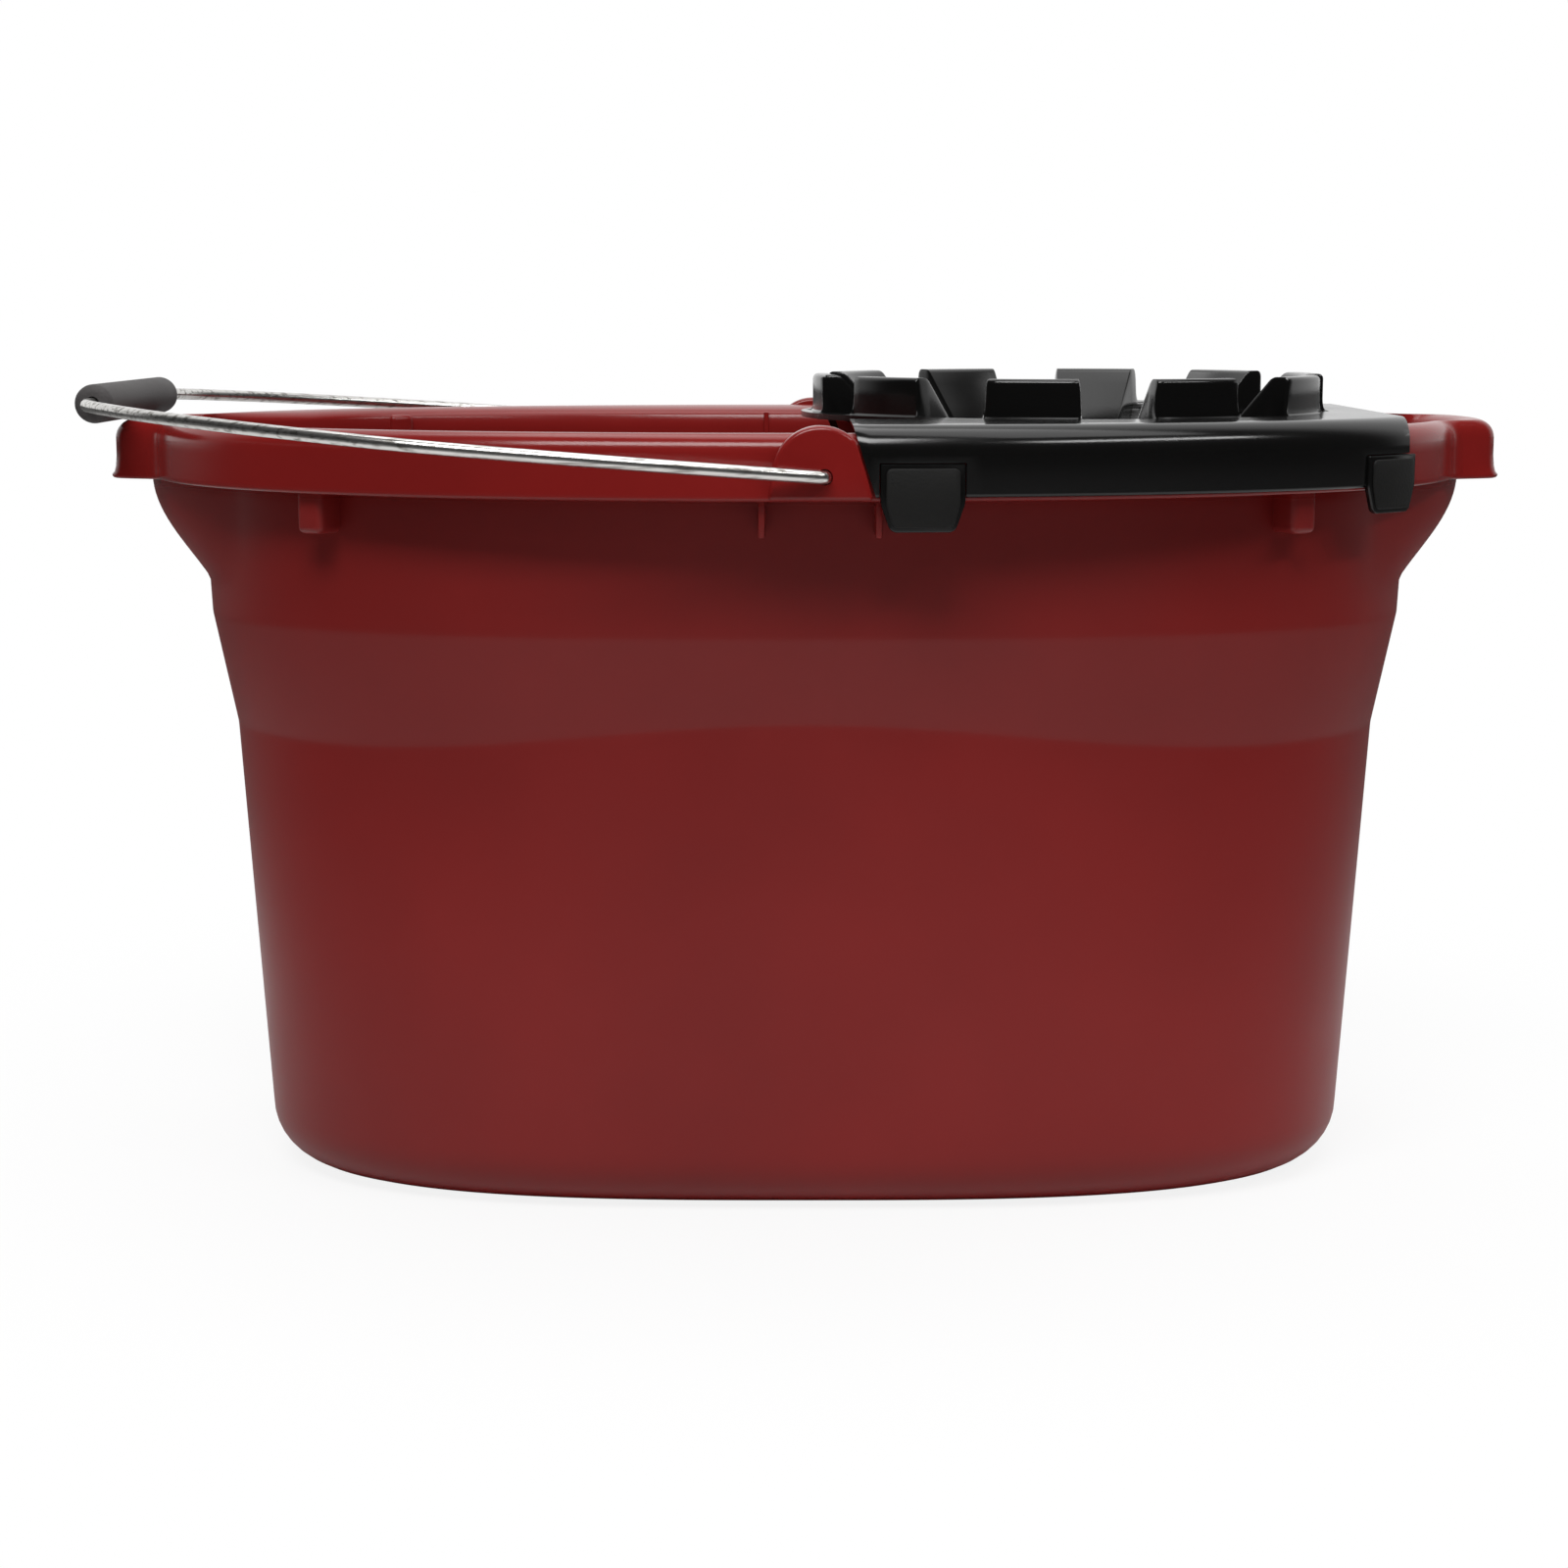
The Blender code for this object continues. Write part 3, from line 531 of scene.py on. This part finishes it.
# %% The shell
shell = wrapped("bucket_shell", 288, levels)
PIVOT_X, PIVOT_Z = 0.005, HEIGHT - 0.0125
HOLE_RADIUS = 0.0024
for side in (-1, 1):
    hole = rod("hole", HOLE_RADIUS, 0.020, (PIVOT_X, side * RIM_B, PIVOT_Z), "Y", 32)
    cut(shell, hole)
smooth(shell, 40)
finished(shell, red_gloss, "bucket", "bucket_red", "bucket")

# %% [markdown]
# Each ear is an arch that stands out from the skirt and carries the bail in a hole. Its edge has a
# moulded radius, which catches a light line. Its right side makes room for the wringer's edge.

# %% The ears
EAR_Y = RIM_B + 0.0045
EAR_HALF, EAR_FLARE, EAR_SHIFT = 0.0145, 0.0012, -0.0012
EAR_TOP, EAR_LOW = 0.0150, -0.0072
DECK_Z = HEIGHT + 0.0025
COVER_LEFT, COVER_SLANT = 0.0134, 0.318


def cover_edge(z):
    return COVER_LEFT + COVER_SLANT * max(0, DECK_Z - z)


def ear_outline():
    points = [(EAR_SHIFT - EAR_HALF - EAR_FLARE, EAR_LOW)]
    for step in range(33):
        turn = math.pi - step * math.pi / 32
        x = EAR_SHIFT + EAR_HALF * math.cos(turn)
        points.append((x, EAR_TOP - EAR_HALF + EAR_HALF * math.sin(turn)))
    points.append((EAR_SHIFT + EAR_HALF + EAR_FLARE, EAR_LOW))
    return [(min(x, cover_edge(PIVOT_Z + z) - 0.0006 - PIVOT_X), z) for x, z in points]


EAR_BACK = 0.0038
for name, side in (("front_ear", -1), ("back_ear", 1)):
    depth = EAR_Y - RIM_B + EAR_BACK
    to_place = Matrix.Translation((PIVOT_X, side * (EAR_Y - depth), PIVOT_Z))
    if side > 0:
        to_place = to_place @ Matrix.Scale(-1, 4, (0, 1, 0))
    ear = plate(f"{name}_moulding", ear_outline(), depth, to_place)
    in_edit_mode(ear, merge_and_face_out)
    soften(ear, 0.0016, 4)
    cut(ear, rod("hole", HOLE_RADIUS, 0.020, (PIVOT_X, side * RIM_B, PIVOT_Z), "Y", 48))
    smooth(ear, 35)
    finished(ear, red_gloss, "bucket", "bucket_red", name)

# %% [markdown]
# Two thin ribs brace the skirt beside each ear, and four hollow lugs keep stacked buckets apart.
# All of them hang from the flange between the skirt and the wall.

# %% Ribs and stacking lugs
RIB_PITCH = 0.0350
RIB_DROP, LUG_DROP = 0.0110, 0.0125
for side in (-1, 1):
    for end in (-1, 1):
        low, high = SKIRT_Z - RIB_DROP, HEIGHT - WALL
        outer, inner = RIM_B - WALL - 0.0016, WALL_B - 0.0030
        place = (PIVOT_X + EAR_SHIFT + end * RIB_PITCH / 2, side * (outer + inner) / 2, (low + high) / 2)
        rib = block(f"rib_{side + 1}_{end + 1}", (0.0020, outer - inner, high - low), place)
        soften(rib, 0.0006, 2)
        smooth(rib)
        finished(rib, red_gloss, "bucket", "bucket_red")


def rim_frame(x, side, out):
    """The place and the outward direction on the rim at x, moved outwards."""
    y = side * RIM_B * (1 - (abs(x) / RIM_A) ** RIM_FULLNESS) ** (1 / RIM_FULLNESS)
    direction = rim_normal(x, y)
    return Vector((x, y, 0)) + direction * out, direction


def facing(direction):
    """The turn about Z that brings -Y to a direction."""
    return math.atan2(direction.y, direction.x) + math.pi / 2


LUG_X = 0.714 * RIM_A
LUG_DEPTH = 0.0133
for side in (-1, 1):
    for end in (-1, 1):
        low, high = SKIRT_Z - LUG_DROP, HEIGHT - WALL
        place, direction = rim_frame(end * LUG_X, side, -WALL - 0.0010 - LUG_DEPTH / 2)
        place.z = (low + high) / 2
        size = (0.0095, LUG_DEPTH, high - low)
        lug = block(f"lug_{side + 1}_{end + 1}", size, place, facing(direction))
        soften(lug, 0.0022, 4)
        smooth(lug)
        finished(lug, red_gloss, "bucket", "bucket_red")

# %% [markdown]
# ## The wringer
# The wringer is a second moulding in gloss black. Its deck covers the rim from the bail to just
# short of the right spout, and turns down over the skirt. It is wrapped as a whole oval lid first
# and then cut to length: slanted at the left, straight at the right, with a round bulge of deck
# about the crown.

# %% The deck
GAP = 0.0003
COVER = 0.0022
COVER_OUT = GAP + COVER
COVER_LOW = HEIGHT - 0.0188
COVER_RIGHT = 0.871 * RIM_A


def cover_level(out, z):
    def point(turn):
        return (*rim_plan(turn, out), z)

    return point


def cover_levels():
    outer, inner = RIM_RADIUS + COVER_OUT, RIM_RADIUS + GAP
    levels = [cover_level(-0.05, DECK_Z)]
    for step in range(11):
        turn = step * math.pi / 20
        out = COVER_OUT - outer * (1 - math.sin(turn))
        levels.append(cover_level(out, DECK_Z - outer * (1 - math.cos(turn))))
    for step in range(7):
        turn = step * math.pi / 6
        out = GAP + COVER / 2 * (1 + math.cos(turn))
        levels.append(cover_level(out, COVER_LOW + COVER / 2 * (1 - math.sin(turn))))
    for step in range(7):
        turn = math.pi / 2 - step * math.pi / 12
        out = GAP - inner * (1 - math.sin(turn))
        levels.append(cover_level(out, DECK_Z - COVER - inner * (1 - math.cos(turn))))
    levels += [cover_level(-0.05, DECK_Z - COVER), cover_level(-0.05, DECK_Z)]
    return levels


deck = wrapped("wringer_deck", 256, cover_levels())
CROWN_X, CROWN_RADIUS = 0.407 * RIM_A, math.sqrt(4 * RIM_A * RIM_B) / 4


def keeper():
    """What is kept of the lid."""
    top, low = DECK_Z + 0.010, COVER_LOW - 0.010
    side = [(cover_edge(top), top), (cover_edge(DECK_Z), DECK_Z), (cover_edge(low), low)]
    side += [(COVER_RIGHT, low), (COVER_RIGHT, top)]
    body = plate("keeper", side, 4 * RIM_B, Matrix.Translation((0, 2 * RIM_B, 0)))
    bulge = rod("bulge", CROWN_RADIUS + 0.005, 0.022, (CROWN_X, 0, HEIGHT + 0.008), sides=192)
    cut(body, bulge, "UNION")
    return body


cut(deck, keeper(), "INTERSECT")
cut(deck, rod("mouth", CROWN_RADIUS + 0.0015, 0.030, (CROWN_X, 0, DECK_Z), sides=192))
TAB_TOP = HEIGHT - 0.0085
LEFT = ("left", COVER_LEFT + 0.0205, 0.0253, HEIGHT - 0.0290)
RIGHT = ("right", COVER_RIGHT - 0.0085, 0.0240, HEIGHT - 0.0270)
TABS = []
for end, x, width, low in (LEFT, RIGHT):
    TABS.append((f"front_{end}_tab", x, width, low, -1))
    TABS.append((f"back_{end}_tab", x, width, low, 1))
for name, x, width, low, side in TABS:
    place, direction = rim_frame(x, side, COVER_OUT / 2)
    place.z = (TAB_TOP + low) / 2
    window = block("window", (width + 2 * GAP, 0.010, TAB_TOP - low), place, facing(direction))
    cut(deck, window)
soften(deck, 0.0005, 2, 50)
smooth(deck, 35)
finished(deck, black_gloss, "wringer", "wringer_black", "wringer")

# %% [markdown]
# The crown and the cone are one skin: ten hollow teeth stand above the deck and run down inside the
# cone as flutes, with plain cone between them. Each column of the grid follows either the path over
# a tooth or the path down a gap, and the columns between the two are the teeth's closed sides with
# their small edge radius. A wringer like this squeezes a mop by wedging it between the flutes.

# %% The crown and the cone
CONE_DEPTH = 0.099
CROWN_TOP = HEIGHT + 0.0147
TOOTH_RADIUS = 0.0042
MOUTH_RADIUS = CROWN_RADIUS - 0.0070
CROWN_FOOT = 0.004
ROOT_Z = DECK_Z - 0.0002
FLOOR_Z = HEIGHT - CONE_DEPTH
FLOOR_RADIUS, FLUTE_RADIUS, HUB = 0.0360, 0.0275, 0.0002


def run(start, end, steps):
    return [mixed(start, end, step / steps) for step in range(1, steps + 1)]


def gap_path():
    lip = MOUTH_RADIUS + CROWN_FOOT
    path = [[CROWN_RADIUS + CROWN_FOOT, ROOT_Z]]
    path += run(path[-1], [lip, ROOT_Z], 6)
    for step in range(1, 11):
        turn = step * math.pi / 24
        path.append([lip - CROWN_FOOT * math.sin(turn), ROOT_Z - CROWN_FOOT * (1 - math.cos(turn))])
    path += run(path[-1], [FLOOR_RADIUS, FLOOR_Z], 27)
    path += run(path[-1], [HUB, FLOOR_Z], 5)
    return path


def tooth_path():
    centre = (CROWN_RADIUS - TOOTH_RADIUS, CROWN_TOP - TOOTH_RADIUS)
    path = [[CROWN_RADIUS + CROWN_FOOT, ROOT_Z], [CROWN_RADIUS + 0.0006, ROOT_Z]]
    path.append([CROWN_RADIUS, ROOT_Z + 0.0006])
    path += run(path[-1], [CROWN_RADIUS, centre[1]], 4)
    corner = 0.0016
    path[-1][1] = CROWN_TOP - corner
    for step in range(1, 5):
        turn = step * math.pi / 8
        r = CROWN_RADIUS - corner * (1 - math.cos(turn))
        path.append([r, CROWN_TOP - corner * (1 - math.sin(turn))])
    for step in range(1, 7):
        turn = math.pi / 2 + step * math.radians(45) / 6
        r = centre[0] + TOOTH_RADIUS * math.cos(turn)
        path.append([r, centre[1] + TOOTH_RADIUS * math.sin(turn)])
    knee = [0.0610, HEIGHT - 0.0060]
    path += run(path[-1], knee, 5)
    path[-1][0] += 0.0006
    path += run(path[-1], [FLUTE_RADIUS, FLOOR_Z], 22)
    path += run(path[-1], [HUB, FLOOR_Z], 5)
    return path


TEETH = 10
TOOTH_ANGLE = math.radians(20)
FIRST_TOOTH = math.radians(5.4)
EDGE = math.radians(0.9)


def tooth_share(angle):
    """1 on a tooth, 0 in a gap, and between them on the tooth's rounded side."""
    pitch = 2 * math.pi / TEETH
    off = abs((angle - FIRST_TOOTH + pitch / 2) % pitch - pitch / 2)
    share = (TOOTH_ANGLE / 2 + EDGE / 2 - off) / EDGE
    share = min(1, max(0, share))
    return math.sin(share * math.pi / 2) ** 0.7 if share < 1 else 1


def crown_columns():
    """Angles of the columns, close together at the teeth's sides."""
    pitch = 2 * math.pi / TEETH
    angles = []
    for tooth in range(TEETH):
        middle = FIRST_TOOTH + tooth * pitch
        half = TOOTH_ANGLE / 2
        shares = [step / 5 for step in range(-5, 6)]
        angles += [middle + share * (half - EDGE / 2) for share in shares]
        angles += [middle + half - EDGE / 2 + EDGE * step / 6 for step in range(1, 6)]
        start, end = middle + half + EDGE / 2, middle + pitch - half - EDGE / 2
        angles += [start + (end - start) * step / 4 for step in range(5)]
        angles += [end + EDGE * step / 6 for step in range(1, 6)]
    return angles


def crown_levels(angles):
    teeth, gaps = tooth_path(), gap_path()
    print(len(teeth), len(gaps), "points down a tooth and down a gap")
    levels = []
    for tooth, gap in zip(teeth, gaps):

        def point(turn, tooth=tooth, gap=gap):
            angle = angles[round(turn * len(angles)) % len(angles)]
            radius, z = mixed(gap, tooth, tooth_share(angle))
            return CROWN_X + radius * math.cos(angle), radius * math.sin(angle), z

        levels.append(point)
    return levels


# %% [markdown]
# The skin gets the wall thickness of the moulding. Then a slot is cut down the cone in every gap and
# a ring of drain holes in its floor, where the water runs back into the bucket.

# %% The basket
SLOT_WIDTH, SLOT_LENGTH, SLOT_DROP = 0.004, 0.055, 0.0485
DRAINS, DRAIN_RADIUS, DRAIN_CIRCLE = 6, 0.0035, 0.015
BASKET_WALL = 0.0018
angles = crown_columns()
basket = wrapped("wringer_basket", len(angles), crown_levels(angles))
apply(basket, "SOLIDIFY", thickness=BASKET_WALL, offset=-1, use_even_offset=True)
lean = math.atan((MOUTH_RADIUS - FLOOR_RADIUS) / CONE_DEPTH)
for i in range(TEETH):
    angle = FIRST_TOOTH + (i + 0.5) * 2 * math.pi / TEETH
    radius = MOUTH_RADIUS - SLOT_DROP / CONE_DEPTH * (MOUTH_RADIUS - FLOOR_RADIUS)
    slot = block("slot", (0.020, SLOT_WIDTH, SLOT_LENGTH), (0, 0, 0))
    turn = Matrix.Rotation(angle, 4, "Z") @ Matrix.Rotation(lean, 4, "Y")
    place = (CROWN_X + radius * math.cos(angle), radius * math.sin(angle), HEIGHT - SLOT_DROP)
    slot.data.transform(Matrix.Translation(place) @ turn)
    cut(basket, slot)
for i in range(DRAINS):
    angle = i * 2 * math.pi / DRAINS
    place = (CROWN_X + DRAIN_CIRCLE * math.cos(angle), DRAIN_CIRCLE * math.sin(angle), FLOOR_Z)
    cut(basket, rod("drain", DRAIN_RADIUS, 0.010, place, sides=32))
smooth(basket, 35)
finished(basket, black_gloss, "wringer", "wringer_black")

# %% [markdown]
# Four clips hang from the skirts and grip the bucket's rim from below. Each is a plate of even
# thickness with a raised thumb pad in a matt grain; on the real clip the top flexes.


# %% The clips
def rounded(corners, radii, steps=6):
    """An outline with its corners rounded."""
    points = []
    count = len(corners)
    for i, (corner, radius) in enumerate(zip(corners, radii)):
        here = Vector(corner)
        back = (Vector(corners[i - 1]) - here).normalized()
        ahead = (Vector(corners[(i + 1) % count]) - here).normalized()
        half = back.angle(ahead) / 2
        reach = radius / math.tan(half)
        centre = here + (back + ahead).normalized() * radius / math.sin(half)
        start, end = here + back * reach - centre, here + ahead * reach - centre
        sweep = math.atan2(start.x * end.y - start.y * end.x, start.dot(end))
        for step in range(steps + 1):
            turn = sweep * step / steps
            c, s = math.cos(turn), math.sin(turn)
            points.append((centre.x + start.x * c - start.y * s, centre.y + start.x * s + start.y * c))
    return points


TAB_THICK = 0.0022
for name, x, width, bottom, side in TABS:
    place, direction = rim_frame(x, side, GAP + 0.0004)
    place.z = TAB_TOP - GAP
    to_place = Matrix.Translation(place) @ Matrix.Rotation(facing(direction), 4, "Z")
    half, low = width / 2, bottom - TAB_TOP + GAP
    corners = [(-half, 0), (half, 0), (half, low + 0.0085), (half - 0.003, low), (0.003 - half, low)]
    corners.append((-half, low + 0.0085))
    outline = rounded(corners, [0.0005, 0.0005, 0.006, 0.0028, 0.0028, 0.006])
    clip = plate(f"{name}_plate", outline, TAB_THICK, to_place)
    soften(clip, 0.0005, 2)
    smooth(clip)
    finished(clip, black_gloss, name, "tab_black", name)
    inner = half - 0.0016
    corners = [(-inner, -0.0013), (inner, -0.0013), (inner, low + 0.0085), (inner - 0.002, low + 0.0014)]
    corners += [(0.002 - inner, low + 0.0014), (-inner, low + 0.0085)]
    outline = rounded(corners, [0.0018, 0.0018, 0.006, 0.0024, 0.0024, 0.006])
    forward = Matrix.Translation((0, -TAB_THICK + 0.0002, 0))
    pad = plate(f"{name}_pad", outline, 0.0010, to_place @ forward)
    soften(pad, 0.0004, 2)
    smooth(pad)
    finished(pad, black_matte, name, "tab_black")

# %% [markdown]
# ## The bail and its grip
# The bail is one length of 4 mm wire. Each end is hooked through an ear, the arms bow out to clear
# the rim, and the straight part between them carries the grip, a moulded tube that turns freely.

# %% The bail
GRIP_RUN, GRIP_RISE = 0.2351, 0.018534
BAIL_REACH = math.hypot(GRIP_RUN, GRIP_RISE)
GRIP_RADIUS, GRIP_LENGTH, GRIP_SLACK = 0.0063, 0.106, 0.004
WIRE_RADIUS = 0.0020
WIRE_Y = EAR_Y + WIRE_RADIUS + 3 * GAP
BOW = 0.0084


def flowing(points, steps):
    """A smooth line through the points."""
    ends = [2 * points[0] - points[1], *points, 2 * points[-1] - points[-2]]
    line = []
    for a, b, c, d in zip(ends, ends[1:], ends[2:], ends[3:]):
        for step in range(steps):
            t = step / steps
            bend = (2 * a - 5 * b + 4 * c - d) * t**2 + (3 * b - a - 3 * c + d) * t**3
            line.append((2 * b + (c - a) * t + bend) / 2)
    return [*line, points[-1]]


HOOK = 0.0024


def hook(corner, start, end):
    back, ahead = (start - corner).normalized() * HOOK, (end - corner).normalized() * HOOK
    turns = [step * math.pi / 16 for step in range(9)]
    return [corner + back * (1 - math.sin(t)) + ahead * (1 - math.cos(t)) for t in turns]


def arm():
    """One side of the bail in its own plane: x to the grip, y outwards."""
    tail_y = RIM_B - EAR_BACK - 0.0020 - WIRE_RADIUS
    inner, outer = Vector((0, tail_y, 0)), Vector((0, WIRE_Y, 0))
    tail, ahead = Vector((0.008, tail_y, 0)), Vector((1, WIRE_Y, 0))
    points = [tail, *hook(inner, tail, outer), *hook(outer, inner, ahead)]
    grip_end = GRIP_LENGTH / 2 + GRIP_SLACK
    spread = WIRE_Y + BOW - grip_end
    sweep = [(0.0045, WIRE_Y + 0.0003), (0.025, WIRE_Y + 0.52 * BOW), (0.0637, WIRE_Y + BOW)]
    sweep += [(0.118, WIRE_Y + 0.75 * BOW), (0.1652, grip_end + 0.76 * spread)]
    for back, out in ((0.033, 0.047), (0.011, 0.024), (0.0022, 0.0105), (0, 0.003)):
        sweep.append((BAIL_REACH - back, grip_end + out))
    return points + flowing([Vector((x, y, 0)) for x, y in sweep], 10)


near = arm()
line = [*near, *(Vector((p.x, -p.y, 0)) for p in reversed(near))]
curve = bpy.data.curves.new("bail_wire", "CURVE")
curve.dimensions = "3D"
curve.bevel_depth = WIRE_RADIUS
curve.bevel_resolution = 8
curve.use_fill_caps = True
spline = curve.splines.new("POLY")
spline.points.add(len(line) - 1)
for point, place in zip(spline.points, line):
    point.co = (*place, 1)
bail = bpy.data.objects.new("bail_wire", curve)
bpy.context.scene.collection.objects.link(bail)
active(bail)
bpy.ops.object.convert(target="MESH")
bail = bpy.context.object
in_edit_mode(bail, merge_and_face_out)
tilt = math.atan2(GRIP_RISE, GRIP_RUN)
to_place = Matrix.Translation((PIVOT_X, 0, PIVOT_Z)) @ Matrix.Rotation(math.pi + tilt, 4, "Y")
bail.data.transform(to_place)
in_edit_mode(bail, merge_and_face_out)
smooth(bail, 50)
finished(bail, zinc, "bail", "bail_wire", "bail")

# %% [markdown]
# The grip is a foam-like tube with rounded ends. It is bored wider than the wire, so it turns freely.

# %% The grip
GRIP_BORE = 0.0024
grip_place = to_place @ Vector((BAIL_REACH, 0, 0))
grip = rod("grip_tube", GRIP_RADIUS, GRIP_LENGTH, grip_place, "Y", 64)
soften(grip, 0.0032, 6, 60)
cut(grip, rod("bore", GRIP_BORE, 0.2, grip_place, "Y", 32))
smooth(grip, 40)
finished(grip, charcoal, "grip", "grip_charcoal", "grip")

# %% [markdown]
# ## The stage
# The bucket stands on a plain pale table in front of a white backdrop. The room on the camera's side
# is dim, so the red stays deep where it faces the camera and turns pale only at its grazing edges,
# where it mirrors the backdrop. The table's colour holds a painted pool of light: pale near the
# bucket and darker further out, in place of light that falls off across the table. The band leans
# down towards it, mirrors it, and so looks lighter than the wall above and below. To the camera the
# table glows almost plain white.


# %% The table
def graded(tree, value, low, high, start, end):
    """A value that eases from one number to another as an input passes a range."""
    node = tree.nodes.new("ShaderNodeMapRange")
    node.interpolation_type = "SMOOTHSTEP"
    node.inputs["From Min"].default_value, node.inputs["From Max"].default_value = low, high
    node.inputs["To Min"].default_value, node.inputs["To Max"].default_value = start, end
    tree.links.new(value, node.inputs["Value"])
    return node.outputs["Result"]


bpy.ops.object.select_all(action="DESELECT")
bpy.ops.mesh.primitive_plane_add(size=30, location=(0, 0, 0))
table = bpy.context.object
table.name = "table"
pale = bpy.data.materials.new("pale_table")
pale.use_nodes = True
tree = pale.node_tree
shader, output = tree.nodes["Principled BSDF"], tree.nodes["Material Output"]
shader.inputs["Roughness"].default_value = 0.9
shader.inputs["Specular IOR Level"].default_value = 0.1
place = tree.nodes.new("ShaderNodeTexCoord").outputs["Object"]
length = tree.nodes.new("ShaderNodeVectorMath")
length.operation = "LENGTH"
tree.links.new(place, length.inputs[0])
# Painted pool of light: the table's colour is pale near the bucket and darker further out, in place of
# the light falling off across it.
painted_light_pool = graded(tree, length.outputs["Value"], 0.35, 0.8, 0.75, 0.12)
tree.links.new(painted_light_pool, shader.inputs["Base Color"])
glow = tree.nodes.new("ShaderNodeEmission")
glow.inputs["Color"].default_value = (1, 1, 1, 1)
glow.inputs["Strength"].default_value = 1.0
sight = tree.nodes.new("ShaderNodeLightPath").outputs["Is Camera Ray"]
share = tree.nodes.new("ShaderNodeMath")
share.operation = "MULTIPLY"
tree.links.new(sight, share.inputs[0])
tree.links.new(graded(tree, length.outputs["Value"], 0.1, 0.5, 0.86, 1.0), share.inputs[1])
mix = tree.nodes.new("ShaderNodeMixShader")
tree.links.new(share.outputs["Value"], mix.inputs[0])
tree.links.new(shader.outputs["BSDF"], mix.inputs[1])
tree.links.new(glow.outputs["Emission"], mix.inputs[2])
tree.links.new(mix.outputs["Shader"], output.inputs["Surface"])
table.data.materials.append(pale)
table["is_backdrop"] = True

# %% [markdown]
# The room is a plain white backdrop behind the bucket and almost dark behind the camera, which keeps
# the middle of each glossy surface deep and makes its turned-away edges pale.

# %% The room: white behind the bucket, dim behind the camera
world = bpy.data.worlds.new("white_backdrop")
bpy.context.scene.world = world
world.use_nodes = True
tree = world.node_tree
facing_y = tree.nodes.new("ShaderNodeSeparateXYZ")
tree.links.new(tree.nodes.new("ShaderNodeTexCoord").outputs["Generated"], facing_y.inputs[0])
tree.links.new(
    graded(tree, facing_y.outputs["Y"], 0.05, 0.45, 0.04, 1.0),
    tree.nodes["Background"].inputs["Strength"],
)
tree.nodes["Background"].inputs["Color"].default_value = (1, 1, 1, 1)


# %% [markdown]
# A high key light shades the wall under the skirt and leaves the wire's middle dark. A weak light
# overhead draws the line along the rim, and a narrow one at the right lights that end.


# %% The lights
def softbox(name, place, aim, wide, high, power):
    light = bpy.data.lights.new(name, "AREA")
    light.shape = "RECTANGLE"
    light.size, light.size_y = wide, high
    light.energy = power
    made = bpy.data.objects.new(name, light)
    bpy.context.scene.collection.objects.link(made)
    made.location = place
    made.rotation_euler = (Vector(aim) - Vector(place)).to_track_quat("-Z", "Y").to_euler()
    return made


softbox("key", (-0.35, -1.25, 1.95), (0, 0, 0.12), 1.4, 0.7, 40)
softbox("overhead", (0.1, 0.1, 1.4), (0, 0, 0.2), 1.6, 0.6, 7)
softbox("right", (0.94, -0.78, 1.31), (0.13, -0.1, 0.25), 0.9, 0.15, 6)
bpy.context.scene.view_settings.view_transform = "Standard"

# %% [markdown]
# ## The camera
# It stands a metre away on the near side, a little above the rim, and looks slightly down.

# %% Camera
lens = bpy.data.cameras.new("camera")
lens.lens = 66.9
lens.sensor_width = 36
camera = bpy.data.objects.new("camera", lens)
bpy.context.scene.collection.objects.link(camera)
camera.location = (-0.0070, -1.0, HEIGHT + 0.0365)
camera.rotation_euler = Euler((math.radians(90 - 9.27), 0, 0))
bpy.context.scene.camera = camera

# %% [markdown]
# ## The sizes
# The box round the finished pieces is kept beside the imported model's, so the two can be compared.

# %% Sizes
low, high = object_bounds()
